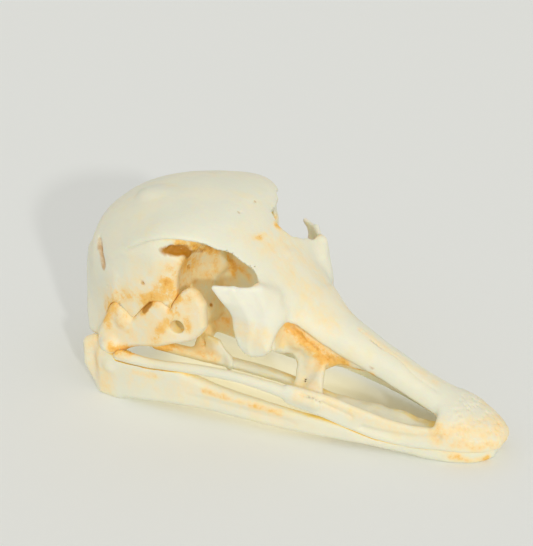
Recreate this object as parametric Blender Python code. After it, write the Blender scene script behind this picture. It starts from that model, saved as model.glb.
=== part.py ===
"""Ostrich skull: one cranium with the upper beak, one mandible and two quadrates.

Every length in the tables is in millimetres. Places along the skull are given as the
distance behind the tip of the beak, so a section's first number is always positive.
The finished solids are in metres: +X to the beak, +Y to the bird's left, +Z up, with
the origin on the ground under the middle of the skull.
"""

import math

import bmesh
import bpy
import numpy as np
from mathutils import Matrix, Vector

MM = 0.001

# Driving dimensions
SKULL_LENGTH = 180.0
LACRIMAL_SPAN = 72.0
TIP_X = SKULL_LENGTH / 2
JOINT_GAP = 0.4

# Mesh resolution
RING_POINTS = 28
STATION_STEP = 3.0
CRANIUM_VOXEL = 1.15
MANDIBLE_VOXEL = 1.2
QUADRATE_VOXEL = 0.9
CRANIUM_FACES = 6200
MANDIBLE_FACES = 1900
QUADRATE_FACES = 560

BONE_COLOUR = (0.80, 0.76, 0.62, 1.0)
QUADRATE_COLOUR = (0.82, 0.70, 0.47, 1.0)
BONE_ROUGHNESS = 0.55


def smooth_table(table, step=STATION_STEP):
    """Rows of a section table read at even steps from smooth curves through its columns."""
    table = np.array(sorted(table), float)
    places = table[:, 0]
    count = max(2, int(round((places[-1] - places[0]) / step)) + 1)
    wanted = np.linspace(places[0], places[-1], count)
    columns = [wanted]
    for column in table.T[1:]:
        slopes = np.gradient(column, places)
        index = np.clip(np.searchsorted(places, wanted) - 1, 0, len(places) - 2)
        span = places[index + 1] - places[index]
        t = (wanted - places[index]) / span
        columns.append(
            (2 * t**3 - 3 * t**2 + 1) * column[index]
            + (t**3 - 2 * t**2 + t) * span * slopes[index]
            + (3 * t**2 - 2 * t**3) * column[index + 1]
            + (t**3 - t**2) * span * slopes[index + 1]
        )
    return np.array(columns).T


def at(behind_tip, side, up):
    """A point in millimetres from its distance behind the tip, to the left and up."""
    return Vector((TIP_X - behind_tip, side, up))


def loft(bm, rings):
    """Adds a closed skin over rings that all have the same number of points."""
    rows = [[bm.verts.new(p) for p in ring] for ring in rings]
    for first, second in zip(rows, rows[1:]):
        for i in range(len(first)):
            bm.faces.new((first[i - 1], first[i], second[i], second[i - 1]))
    bm.faces.new(reversed(rows[0]))
    bm.faces.new(rows[-1])


def powered(value, power):
    """The coordinate of a superellipse for a cosine or a sine."""
    return math.copysign(abs(value) ** (2 / power), value)


def oval_ring(behind, half_width, top, middle, bottom, power=2.0):
    """A closed section whose widest level is at middle; a higher power squares it."""
    ring = []
    for k in range(RING_POINTS):
        angle = 2 * math.pi * k / RING_POINTS
        rise = powered(math.sin(angle), power)
        height = top - middle if rise > 0 else middle - bottom
        side = half_width * powered(math.cos(angle), power)
        ring.append(at(behind, side, middle + rise * height))
    return ring


def arch_ring(behind, half_width, top, edge, wall, power=2.0):
    """A section of a roof: an arch of bone with its two free edges at the level edge."""
    half = RING_POINTS // 2
    outer, inner = [], []
    for k in range(half):
        angle = math.pi * k / (half - 1)
        side, rise = powered(math.cos(angle), power), powered(math.sin(angle), power)
        outer.append(at(behind, side * half_width, edge + rise * (top - edge)))
        inner_rise = edge + rise * (top - edge - wall)
        inner.append(at(behind, side * (half_width - wall), inner_rise))
    return outer + inner[::-1]


def limb(bm, points, radii, flatten=1.0, across=(0.13, 0.31, 0.94)):
    """Adds a bar with blunt ends along points. flatten scales its width along across."""
    points = [Vector(p) for p in points]
    last = len(points) - 1
    tangents = [
        (points[min(i + 1, last)] - points[max(i - 1, 0)]).normalized()
        for i in range(last + 1)
    ]
    start = points[0] - tangents[0] * radii[0] * 0.8
    end = points[-1] + tangents[-1] * radii[-1] * 0.8
    points = [start] + points + [end]
    tangents = [tangents[0]] + tangents + [tangents[-1]]
    radii = [radii[0] * 0.45] + list(radii) + [radii[-1] * 0.45]
    guide = Vector(across)
    turns = [2 * math.pi * k / 12 for k in range(12)]
    rings = []
    for point, tangent, radius in zip(points, tangents, radii):
        u = (guide - tangent * guide.dot(tangent)).normalized() * radius * flatten
        v = tangent.cross(u).normalized() * radius
        rings.append([point + u * math.cos(a) + v * math.sin(a) for a in turns])
    loft(bm, rings)


def blade(bm, rows, thickness, step=STATION_STEP):
    """Adds a thin wall of bone. Each row is a place, then the two edges of the wall there.

    The place only orders the rows and spaces the sections between them.
    """
    table = [(place, *first, *second) for place, first, second in rows]
    sections = smooth_table(table, step)[:, 1:]
    middles = [Vector((s[:3] + s[3:]) / 2) for s in sections]
    last = len(middles) - 1
    rings = []
    for i, section in enumerate(sections):
        run = (middles[min(i + 1, last)] - middles[max(i - 1, 0)]).normalized()
        half_height = Vector((section[:3] - section[3:]) / 2)
        half_thick = run.cross(half_height).normalized() * thickness / 2
        ring = []
        for k in range(16):
            angle = 2 * math.pi * k / 16
            ring.append(
                middles[i]
                + half_height * powered(math.cos(angle), 3.0)
                + half_thick * powered(math.sin(angle), 3.0)
            )
        rings.append(ring)
    loft(bm, rings)


def ellipsoid(bm, centre, radii):
    """Adds an ellipsoid with the given half lengths along X, Y and Z."""
    matrix = Matrix.Translation(centre) @ Matrix.Diagonal((*radii, 1.0))
    bmesh.ops.create_uvsphere(bm, u_segments=24, v_segments=14, radius=1.0, matrix=matrix)


def block(bm, low, high):
    """Adds a box between two corners."""
    low, high = Vector(low), Vector(high)
    matrix = Matrix.Translation((low + high) / 2) @ Matrix.Diagonal((*(high - low), 1.0))
    bmesh.ops.create_cube(bm, size=1.0, matrix=matrix)


def mesh_of(bm):
    """The mesh of a millimetre bmesh, in metres, with its faces pointing out."""
    bmesh.ops.recalc_face_normals(bm, faces=bm.faces)
    bmesh.ops.scale(bm, verts=bm.verts, vec=(MM, MM, MM))
    mesh = bpy.data.meshes.new("bone")
    bm.to_mesh(mesh)
    bm.free()
    return mesh


def link(name, mesh):
    obj = bpy.data.objects.new(name, mesh)
    bpy.context.scene.collection.objects.link(obj)
    return obj


def as_guide(obj):
    """Hides an object that only shapes another one."""
    obj.hide_render = True
    obj.display_type = "WIRE"
    return obj


def carve(obj, cutter):
    """Takes the cutter's shape out of the object."""
    cut = obj.modifiers.new("carve_" + cutter.name, "BOOLEAN")
    cut.operation = "DIFFERENCE"
    cut.solver = "EXACT"
    cut.object = cutter


def fuse(obj, voxel):
    """Melts overlapping closed shapes into one skin."""
    melt = obj.modifiers.new("fuse", "REMESH")
    melt.mode = "VOXEL"
    melt.voxel_size = voxel * MM


def evaluated_mesh(obj):
    bpy.context.view_layer.update()
    return obj.evaluated_get(bpy.context.evaluated_depsgraph_get()).data


def bone_object(name, bm, material, voxel, faces, cutters=()):
    """Fuses overlapping closed shapes into one bone, carves it and thins its mesh."""
    obj = link(name, mesh_of(bm))
    obj.data.materials.append(material)
    fuse(obj, voxel)
    for cutter in cutters:
        carve(obj, cutter)
    if cutters:
        fuse(obj, voxel)
    soften = obj.modifiers.new("soften", "SMOOTH")
    soften.factor = 0.5
    soften.iterations = 3
    triangles = sum(len(p.vertices) - 2 for p in evaluated_mesh(obj).polygons)
    thin = obj.modifiers.new("thin", "DECIMATE")
    thin.ratio = min(1.0, faces / triangles)
    thin.use_collapse_triangulate = True
    return obj


def swollen_copy(obj):
    """A guide a joint gap larger than a finished bone, to cut its neighbour with."""
    mesh = bpy.data.meshes.new_from_object(obj.evaluated_get(
        bpy.context.evaluated_depsgraph_get()
    ))
    guide = as_guide(link(obj.name + "_clearance", mesh))
    grow = guide.modifiers.new("grow", "DISPLACE")
    grow.strength = JOINT_GAP * MM
    grow.mid_level = 0.0
    bpy.context.view_layer.update()
    return guide


def bone_material(name, colour):
    """Plain dry bone."""
    material = bpy.data.materials.new(name)
    material.use_nodes = True
    shader = material.node_tree.nodes["Principled BSDF"]
    shader.inputs["Base Color"].default_value = colour
    shader.inputs["Roughness"].default_value = BONE_ROUGHNESS
    shader.inputs["Metallic"].default_value = 0.0
    return material


# Braincase: behind the tip, half width, top, widest level, bottom
BRAINCASE = [
    (116.0, 15.0, 79.0, 68.0, 52.0),
    (121.0, 26.0, 81.5, 69.0, 48.0),
    (128.0, 33.0, 83.0, 70.0, 44.0),
    (140.0, 33.2, 83.2, 66.0, 42.0),
    (151.0, 30.4, 81.0, 61.0, 40.0),
    (161.0, 26.8, 76.2, 55.0, 36.0),
    (168.0, 23.2, 70.8, 52.0, 33.0),
    (174.5, 13.5, 62.0, 48.0, 33.0),
    (178.5, 5.0, 54.0, 47.0, 38.0),
]

# Base of the skull under the brain, in the same columns
SKULL_BASE = [
    (120.0, 12.0, 56.0, 48.0, 30.0),
    (125.0, 23.5, 64.0, 53.0, 26.0),
    (131.0, 30.0, 70.0, 55.0, 24.0),
    (139.0, 32.0, 70.0, 54.0, 23.5),
    (149.0, 31.0, 65.0, 52.0, 24.0),
    (158.0, 28.0, 58.0, 48.0, 24.5),
    (167.0, 22.5, 52.0, 43.0, 26.0),
    (174.5, 12.0, 46.0, 39.0, 30.0),
]

# Roof of the skull: behind the tip, half width at its free edge, crown, edge, thickness
ROOF = [
    (70.0, 11.5, 44.0, 34.0, 3.0),
    (80.0, 16.5, 52.3, 42.0, 3.0),
    (85.0, 21.0, 56.8, 45.5, 3.2),
    (88.5, 23.4, 60.0, 50.5, 3.2),
    (91.5, 21.8, 62.8, 57.0, 3.2),
    (95.0, 20.6, 66.0, 61.0, 3.2),
    (98.0, 21.0, 69.2, 63.6, 3.2),
    (101.0, 22.2, 72.0, 65.8, 3.2),
    (104.0, 24.2, 74.6, 67.6, 3.4),
    (107.0, 26.2, 76.5, 69.6, 3.8),
    (111.0, 29.0, 79.3, 72.8, 4.4),
    (118.0, 33.6, 82.0, 75.5, 5.0),
    (127.0, 36.0, 83.5, 74.5, 5.5),
    (137.0, 35.5, 83.8, 70.0, 6.0),
    (147.0, 33.0, 81.8, 63.5, 6.0),
    (156.0, 28.5, 77.8, 58.0, 6.0),
    (165.0, 20.0, 70.0, 54.0, 6.0),
]

# Dorsal bar of the upper beak, in the same columns
BEAK_ROOF = [
    (14.0, 10.8, 18.0, 13.0, 3.0),
    (24.0, 9.5, 22.3, 14.8, 3.0),
    (36.0, 8.3, 27.0, 18.8, 2.6),
    (46.0, 8.3, 31.4, 22.8, 2.5),
    (58.0, 9.2, 37.0, 27.6, 2.5),
    (68.0, 11.0, 42.6, 32.2, 2.6),
    (78.0, 14.5, 50.3, 41.0, 2.8),
]

# Front of the upper beak: behind the tip, half width, top, widest level, bottom
BEAK_TIP = [
    (0.0, 2.2, 9.8, 8.2, 7.0),
    (2.0, 5.8, 12.1, 8.0, 5.4),
    (6.0, 9.3, 14.8, 7.6, 5.2),
    (12.0, 12.8, 17.4, 7.6, 5.6),
    (18.0, 14.9, 19.4, 8.2, 6.0),
    (24.0, 16.0, 20.0, 9.0, 6.6),
]


def add_braincase(bm):
    loft(bm, [oval_ring(*row, power=2.2) for row in smooth_table(BRAINCASE)])
    loft(bm, [oval_ring(*row, power=2.4) for row in smooth_table(SKULL_BASE)])
    ellipsoid(bm, at(175.0, 0, 32.0), (5.0, 4.6, 4.0))


def add_roof(bm):
    loft(bm, [arch_ring(*row, power=1.85) for row in smooth_table(ROOF)])
    loft(bm, [arch_ring(*row, power=2.2) for row in smooth_table(BEAK_ROOF)])
    loft(bm, [oval_ring(*row, power=2.3) for row in smooth_table(BEAK_TIP)])


def add_side_bars(bm, s):
    """Maxilla, palatal shelf, jugal bar and palatine of one side; s is -1 on the right."""
    jugal = [
        at(149.0, s * 34.5, 19.6),
        at(134.0, s * 34.3, 19.9),
        at(116.0, s * 33.8, 22.4),
        at(96.0, s * 32.0, 23.3),
        at(80.0, s * 29.8, 21.4),
        at(66.0, s * 26.8, 18.4),
    ]
    limb(bm, jugal, [2.3, 2.0, 1.9, 2.0, 2.3, 2.7], flatten=1.15)
    maxilla = [
        (76.0, at(76.0, s * 28.8, 22.5), at(76.0, s * 28.8, 18.0)),
        (62.0, at(62.0, s * 24.6, 19.8), at(62.0, s * 25.0, 13.4)),
        (50.0, at(50.0, s * 21.0, 16.0), at(50.0, s * 21.4, 8.8)),
        (36.0, at(36.0, s * 17.4, 12.4), at(36.0, s * 18.4, 6.4)),
        (20.0, at(20.0, s * 13.4, 11.8), at(20.0, s * 15.0, 5.6)),
    ]
    blade(bm, maxilla, 3.4)
    shelf = [
        (22.0, at(22.0, s * 5.0, 9.4), at(22.0, s * 13.0, 9.6)),
        (30.0, at(30.0, s * 6.6, 10.4), at(30.0, s * 16.0, 10.2)),
        (40.0, at(40.0, s * 8.2, 12.2), at(40.0, s * 18.0, 12.0)),
        (52.0, at(52.0, s * 10.0, 12.8), at(52.0, s * 21.0, 14.6)),
        (64.0, at(64.0, s * 13.5, 14.2), at(64.0, s * 24.4, 17.4)),
        (72.0, at(72.0, s * 20.0, 17.0), at(72.0, s * 27.0, 18.8)),
    ]
    blade(bm, shelf, 2.6)
    palatine = [
        at(62.0, s * 14.0, 14.2),
        at(76.0, s * 13.5, 15.4),
        at(92.0, s * 13.0, 16.4),
        at(106.0, s * 14.5, 17.4),
        at(120.0, s * 19.0, 19.8),
        at(136.0, s * 26.0, 23.6),
    ]
    limb(bm, palatine, [2.2, 2.8, 3.2, 3.2, 3.0, 2.6], flatten=0.7)
    limb(bm, [at(126.0, s * 3.0, 24.5), at(122.0, s * 17.0, 20.6)], [3.6, 2.8])


def add_nasal_walls(bm, s):
    """The wall in front of the orbit, the nasal capsule and the column to the maxilla."""
    wall = [
        (1.0, at(93.0, s * 0.5, 62.0), at(90.0, s * 0.5, 26.0)),
        (8.0, at(93.0, s * 8.0, 60.0), at(90.0, s * 8.0, 30.0)),
        (15.0, at(92.0, s * 15.0, 57.0), at(89.0, s * 14.0, 37.0)),
        (22.0, at(90.0, s * 22.0, 55.0), at(88.0, s * 22.0, 45.0)),
    ]
    blade(bm, wall, 3.6)
    capsule = [
        at(86.0, s * 15.0, 39.0),
        at(79.0, s * 13.0, 34.5),
        at(69.0, s * 9.5, 29.5),
        at(57.0, s * 6.0, 26.0),
    ]
    limb(bm, capsule, [6.0, 5.4, 4.0, 2.4])
    column = [
        (1.0, at(85.0, s * 10.5, 34.0), at(72.0, s * 11.0, 31.0)),
        (8.0, at(80.5, s * 14.5, 27.0), at(71.0, s * 14.5, 26.0)),
        (16.0, at(76.0, s * 20.0, 19.5), at(66.0, s * 20.5, 18.0)),
    ]
    blade(bm, column, 3.0)


def add_lacrimal(bm, s):
    """The plate in front of the eye, with its backward spike and its foot."""
    tip = LACRIMAL_SPAN / 2
    rows = [
        (0.0, at(87.5, s * 21.5, 59.6), at(104.2, s * tip, 61.8)),
        (4.0, at(85.5, s * 23.5, 54.5), at(101.0, s * (tip - 0.5), 57.0)),
        (9.0, at(85.0, s * 24.0, 50.0), at(99.5, s * 31.4, 51.2)),
        (13.0, at(85.0, s * 24.5, 46.5), at(98.8, s * 29.2, 47.2)),
        (19.0, at(85.5, s * 25.0, 41.0), at(98.5, s * 28.0, 41.0)),
        (24.0, at(84.5, s * 26.5, 36.0), at(97.0, s * 28.0, 35.5)),
        (27.0, at(86.0, s * 27.0, 33.6), at(94.5, s * 28.0, 32.4)),
    ]
    blade(bm, rows, 3.4)
    strip = [
        (0.0, at(89.0, s * 23.8, 55.0), at(83.0, s * 19.6, 48.5)),
        (7.0, at(87.8, s * 24.8, 48.0), at(82.4, s * 22.2, 45.2)),
        (14.0, at(87.0, s * 25.2, 41.0), at(82.6, s * 24.2, 40.3)),
        (20.0, at(86.0, s * 26.6, 35.0), at(82.2, s * 27.2, 36.0)),
    ]
    blade(bm, strip, 3.0)


def add_ear_wing(bm, s):
    """The wing of bone that hangs from the braincase behind the ear."""
    rows = [
        (0.0, at(150.0, s * 29.5, 52.0), at(171.0, s * 17.0, 54.0)),
        (10.0, at(151.0, s * 29.5, 43.0), at(173.5, s * 16.0, 44.0)),
        (18.0, at(153.0, s * 29.0, 35.0), at(173.0, s * 17.5, 35.0)),
        (25.0, at(157.0, s * 29.0, 28.0), at(170.0, s * 22.0, 27.5)),
        (29.0, at(160.0, s * 28.5, 24.6), at(167.0, s * 25.0, 23.4)),
    ]
    blade(bm, rows, 5.0)


def add_ear_bridge(bm, s):
    """The bone over the ear, from the side wall to the top of the quadrate."""
    rows = [
        (0.0, at(135.0, s * 30.6, 63.0), at(135.0, s * 31.0, 47.0)),
        (7.0, at(128.0, s * 28.8, 63.0), at(128.0, s * 29.4, 48.5)),
        (13.0, at(121.5, s * 25.0, 60.0), at(121.0, s * 26.6, 52.0)),
    ]
    blade(bm, rows, 4.0)


def add_midline(bm):
    """The wall between the eyes and the nostrils, and the beam under it."""
    septum = [
        (124.0, at(124.0, 0, 78.0), at(124.0, 0, 23.0)),
        (110.0, at(110.0, 0, 75.0), at(110.0, 0, 23.0)),
        (95.0, at(95.0, 0, 63.0), at(95.0, 0, 20.0)),
        (82.0, at(82.0, 0, 50.0), at(82.0, 0, 18.5)),
        (70.0, at(70.0, 0, 41.0), at(70.0, 0, 20.5)),
        (56.0, at(56.0, 0, 34.0), at(56.0, 0, 22.0)),
    ]
    blade(bm, septum, 3.0)
    beam = [at(134.0, 0, 27.0), at(118.0, 0, 24.0), at(92.0, 0, 21.5), at(76.0, 0, 21.0)]
    limb(bm, beam, [4.6, 3.6, 3.0, 2.0])


def cranium_cutters():
    """Brain cavity with the foramen magnum, the hollows behind the eyes, a broken rim."""
    cavity = bmesh.new()
    ellipsoid(cavity, at(146.0, 0, 57.0), (21.0, 23.0, 18.0))
    passage = bmesh.new()
    limb(passage, [at(186.0, 0, 41.0), at(158.0, 0, 47.0)], [6.0, 7.0])
    orbits = bmesh.new()
    for s in (-1, 1):
        ellipsoid(orbits, at(111.5, s * 22.5, 53.5), (13.0, 17.0, 17.5))
    chip = bmesh.new()
    ellipsoid(chip, at(98.5, 22.5, 68.0), (8.0, 15.5, 9.0))
    named = {
        "brain_cavity": cavity,
        "foramen_magnum": passage,
        "eye_hollows": orbits,
        "broken_rim": chip,
    }
    return [as_guide(link(name, mesh_of(bm))) for name, bm in named.items()]


def make_cranium(material):
    bm = bmesh.new()
    add_braincase(bm)
    add_roof(bm)
    add_midline(bm)
    for s in (-1, 1):
        add_side_bars(bm, s)
        add_nasal_walls(bm, s)
        add_lacrimal(bm, s)
        add_ear_wing(bm, s)
        add_ear_bridge(bm, s)
    return bone_object(
        "cranium", bm, material, CRANIUM_VOXEL, CRANIUM_FACES, cranium_cutters()
    )


# Ramus of the lower jaw: behind the tip, distance to the side, top, bottom, half thickness
RAMUS = [
    (3.0, 1.5, 4.8, 0.2, 2.4),
    (7.0, 6.0, 5.2, -0.8, 2.8),
    (14.0, 10.0, 5.4, -0.8, 3.0),
    (24.0, 13.4, 5.4, 0.2, 2.8),
    (36.0, 16.2, 6.2, 1.4, 2.6),
    (52.0, 20.6, 8.6, 2.8, 2.4),
    (70.0, 24.8, 10.8, 3.2, 2.4),
    (90.0, 28.0, 13.0, 4.2, 2.5),
    (110.0, 30.8, 16.2, 5.2, 2.6),
    (118.0, 31.8, 18.4, 4.9, 2.7),
    (124.0, 32.4, 20.4, 4.6, 2.9),
    (134.0, 33.0, 20.0, 3.6, 3.1),
    (145.0, 33.0, 19.4, 1.6, 3.6),
    (157.0, 31.4, 16.0, -0.8, 4.4),
]


def add_ramus(bm, s):
    """One side of the lower jaw with the socket and hook at its rear end."""
    rows = []
    for behind, side, top, bottom, half in RAMUS:
        rows.append((behind, s * side, top, bottom, half))
    rings = []
    for behind, side, top, bottom, half in smooth_table(rows):
        middle, height = (top + bottom) / 2, (top - bottom) / 2
        ring = []
        for k in range(16):
            angle = 2 * math.pi * k / 16
            offset = half * powered(math.cos(angle), 2.8)
            rise = height * powered(math.sin(angle), 2.5)
            ring.append(at(behind, side + offset, middle + rise))
        rings.append(ring)
    loft(bm, rings)
    heel = [
        (0.0, at(150.0, s * 32.5, 15.0), at(150.0, s * 33.0, 1.0)),
        (7.0, at(157.0, s * 30.5, 17.5), at(157.0, s * 32.5, -0.8)),
        (13.0, at(163.0, s * 29.0, 20.5), at(162.0, s * 31.5, 4.5)),
        (17.0, at(167.0, s * 29.5, 18.5), at(166.5, s * 30.5, 10.0)),
    ]
    blade(bm, heel, 6.5)
    limb(bm, [at(158.0, s * 30.0, 16.0), at(149.0, s * 31.0, 15.2)], [4.4, 4.4])
    limb(bm, [at(156.0, s * 29.0, 13.5), at(157.5, s * 21.5, 15.0)], [4.0, 2.4])


def make_mandible(material, guides):
    bm = bmesh.new()
    for s in (-1, 1):
        add_ramus(bm, s)
    chin = [
        (3.0, 3.0, 4.6, 2.0, 0.0),
        (8.0, 8.0, 5.0, 2.0, -0.8),
        (16.0, 10.5, 5.0, 2.0, -0.8),
        (26.0, 12.5, 4.8, 2.4, 0.4),
    ]
    loft(bm, [oval_ring(*row, power=2.6) for row in smooth_table(chin)])
    jaw = bone_object("mandible", bm, material, MANDIBLE_VOXEL, MANDIBLE_FACES)
    for guide in guides:
        carve(jaw, guide)
    return jaw


# Quadrate seen from the side: behind the tip, distance to the side, top, bottom
QUADRATE = [
    (158.0, 31.0, 27.0, 20.5),
    (154.5, 31.0, 34.0, 19.0),
    (150.5, 31.0, 41.0, 20.0),
    (147.0, 31.0, 38.5, 22.5),
    (143.0, 31.0, 36.0, 24.5),
    (138.0, 31.0, 40.0, 26.0),
    (134.0, 31.0, 44.5, 27.0),
    (130.0, 30.8, 46.5, 28.5),
    (126.0, 30.0, 43.0, 30.0),
    (122.0, 29.0, 49.0, 31.0),
    (118.0, 28.0, 53.0, 33.0),
    (114.5, 27.5, 49.0, 37.5),
]


def make_quadrate(name, s, material, guides):
    bm = bmesh.new()
    rows = [
        (behind, at(behind, s * side, top), at(behind, s * side, bottom))
        for behind, side, top, bottom in QUADRATE
    ]
    blade(bm, rows, 6.0, step=2.0)
    ellipsoid(bm, at(153.5, s * 31.0, 22.6), (5.4, 6.4, 4.4))
    limb(bm, [at(147.0, s * 30.5, 35.0), at(146.0, s * 22.0, 44.0)], [4.4, 3.6])
    window = bmesh.new()
    limb(window, [at(123.5, s * 15.0, 37.5), at(122.5, s * 45.0, 37.5)], [2.8, 2.8])
    cutter = as_guide(link(name + "_window", mesh_of(window)))
    quadrate = bone_object(
        name, bm, material, QUADRATE_VOXEL, QUADRATE_FACES, [cutter]
    )
    for guide in guides:
        carve(quadrate, guide)
    return quadrate


def main():
    for obj in list(bpy.data.objects):
        bpy.data.objects.remove(obj, do_unlink=True)
    bone = bone_material("bone", BONE_COLOUR)
    stained = bone_material("stained_bone", QUADRATE_COLOUR)
    ground = bmesh.new()
    block(ground, at(200.0, -60.0, -20.0), at(-20.0, 60.0, 0.0))
    ground_cutter = as_guide(link("ground_cut", mesh_of(ground)))
    cranium = make_cranium(bone)
    around_cranium = swollen_copy(cranium)
    mandible = make_mandible(bone, [around_cranium, ground_cutter])
    around_mandible = swollen_copy(mandible)
    for name, side in (("quadrate_right", -1), ("quadrate_left", 1)):
        make_quadrate(name, side, stained, [around_cranium, around_mandible])


main()
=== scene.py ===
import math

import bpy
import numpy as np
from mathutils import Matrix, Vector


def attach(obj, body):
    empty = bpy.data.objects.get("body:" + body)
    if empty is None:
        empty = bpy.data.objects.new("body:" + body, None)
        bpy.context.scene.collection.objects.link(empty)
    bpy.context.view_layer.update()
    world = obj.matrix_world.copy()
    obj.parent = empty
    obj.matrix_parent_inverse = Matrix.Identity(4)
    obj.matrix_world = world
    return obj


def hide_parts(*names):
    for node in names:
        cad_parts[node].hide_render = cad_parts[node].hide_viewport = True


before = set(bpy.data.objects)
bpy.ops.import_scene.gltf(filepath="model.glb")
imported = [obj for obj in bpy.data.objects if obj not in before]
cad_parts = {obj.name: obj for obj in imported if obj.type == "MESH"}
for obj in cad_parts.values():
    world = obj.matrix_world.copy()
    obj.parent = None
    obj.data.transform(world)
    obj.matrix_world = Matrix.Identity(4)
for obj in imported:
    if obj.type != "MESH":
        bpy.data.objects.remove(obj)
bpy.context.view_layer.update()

# The looks of an ostrich skull: its four bones, each modelled as a distance field and meshed
# here, their stains and pores, the warm shade and the highlights painted on them, a pale
# floor, soft light and the camera of the photograph.
#
# Lengths are in millimetres until a mesh is made. A place along the skull is given as the
# distance behind the tip of the beak, as in the source of the solids. Side is -1 on the
# bird's right, which the camera sees, and 1 on its left.

MM = 0.001
TIP_X = 90.0
RIGHT, LEFT = -1, 1
# The distance that a field starts with, and the size of the lumps of ragged edges
FAR = 30.0
RAG_SIZE = 2.5
# The gaps that keep the bones apart
JAW_GAP, QUADRATE_GAP = 0.3, 0.2

# Mesh resolution
CRANIUM_VOXEL = 0.6
MANDIBLE_VOXEL = 0.6
QUADRATE_VOXEL = 0.45
CRANIUM_TRIANGLES = 190000
MANDIBLE_TRIANGLES = 90000
QUADRATE_TRIANGLES = 30000

# The photograph's camera
PHOTO_WIDTH, PHOTO_HEIGHT = 533, 546
FOCAL_PIXELS = 1242.8
CAMERA_AZIMUTH = math.radians(29.24)
CAMERA_ELEVATION = math.radians(25.61)
CAMERA_DISTANCE = 482.9
CAMERA_TARGET = np.array([-11.4, 0.0, 52.2])
SENSOR_MM = 36.0
# How far from the camera a ray looks for bone, and in what steps
RAY_START, RAY_END, RAY_STEP = 330.0, 640.0, 0.25

# The sun that the photograph's shadows show, and the soft light all round
SUN_AZIMUTH = math.radians(48.5)
SUN_ELEVATION = math.radians(20.0)
SUN_STRENGTH = 0.85
SUN_ANGLE = math.radians(3.0)
SUN_COLOUR = (1.0, 0.98, 0.93)
AMBIENT_STRENGTH = 0.60
# A warm light from the camera's side, and a glow under the bone in place of the light that
# thin bone lets through
FILL_STRENGTH = 0.60
FILL_TILT = math.radians(35.0)
FILL_COLOUR = (1.0, 0.86, 0.55)
GLOW_POWER = 0.005
GLOW_SIZE = (0.08, 0.045)
GLOW_PLACE = (-0.02, 0.0, 0.012)
GLOW_COLOUR = (1.0, 0.86, 0.50)

FLOOR_COLOUR = (0.84, 0.87, 0.88, 1.0)
FLOOR_SIZE = 6.0

# How far and in how many directions a point looks for open air, for the warm shade painted into
# hollows
LOOK_DIRECTIONS = 28
LOOK_STEPS = (1.5, 3.5, 6.0, 9.0, 13.0, 18.0, 24.0)


def at(behind_tip, side, up):
    """A point from its distance behind the tip, to the bird's left and up."""
    return np.array([TIP_X - behind_tip, side, up])


def points_on(s, rows):
    """Points on side s of the bird, from how far behind the tip, how far out and how high."""
    return [at(behind, s * side, up) for behind, side, up in rows]


def walls_on(s, rows):
    """Rows of points for a sheet on side s of the bird."""
    return [points_on(s, row) for row in rows]


def camera_axes():
    """The camera's place, then its right, up and backward directions."""
    sin_a, cos_a = math.sin(CAMERA_AZIMUTH), math.cos(CAMERA_AZIMUTH)
    sin_e, cos_e = math.sin(CAMERA_ELEVATION), math.cos(CAMERA_ELEVATION)
    back = np.array([sin_a * cos_e, -cos_a * cos_e, sin_e])
    right = np.array([cos_a, sin_a, 0.0])
    up = np.cross(back, right)
    return CAMERA_TARGET + back * CAMERA_DISTANCE, right, up, back


# Distance fields


def smooth_min(a, b, blend):
    """The smaller of two distances, rounded where they are within blend of each other."""
    near = np.maximum(blend - np.abs(a - b), 0) / blend
    return np.minimum(a, b) - near * near * blend / 4


def smooth_max(a, b, blend):
    return -smooth_min(-a, -b, blend)


def read_curve(table, places, wanted):
    """Rows read at the wanted places of a smooth curve through an array's rows."""
    slopes = np.gradient(table, places, axis=0)
    index = np.clip(np.searchsorted(places, wanted) - 1, 0, len(places) - 2)
    span = places[index + 1] - places[index]
    shape = (-1,) + (1,) * (table.ndim - 1)
    t = ((wanted - places[index]) / span).reshape(shape)
    span = span.reshape(shape)
    return (
        (2 * t**3 - 3 * t**2 + 1) * table[index]
        + (t**3 - 2 * t**2 + t) * span * slopes[index]
        + (3 * t**2 - 2 * t**3) * table[index + 1]
        + (t**3 - t**2) * span * slopes[index + 1]
    )


def curve_through(table, step, axis=0):
    """Rows read at even steps from smooth curves through the rows of an array."""
    table = np.moveaxis(np.asarray(table, float), axis, 0)
    gaps = np.linalg.norm(np.diff(table[..., :3], axis=0), axis=-1)
    length = gaps.reshape(len(gaps), -1).mean(1)
    places = np.concatenate([[0], np.cumsum(np.maximum(length, 1e-6))])
    pieces = max(len(gaps), int(round(places[-1] / step)))
    wanted = np.linspace(0, places[-1], pieces + 1)
    return np.moveaxis(read_curve(table, places, wanted), 0, axis)


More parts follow.
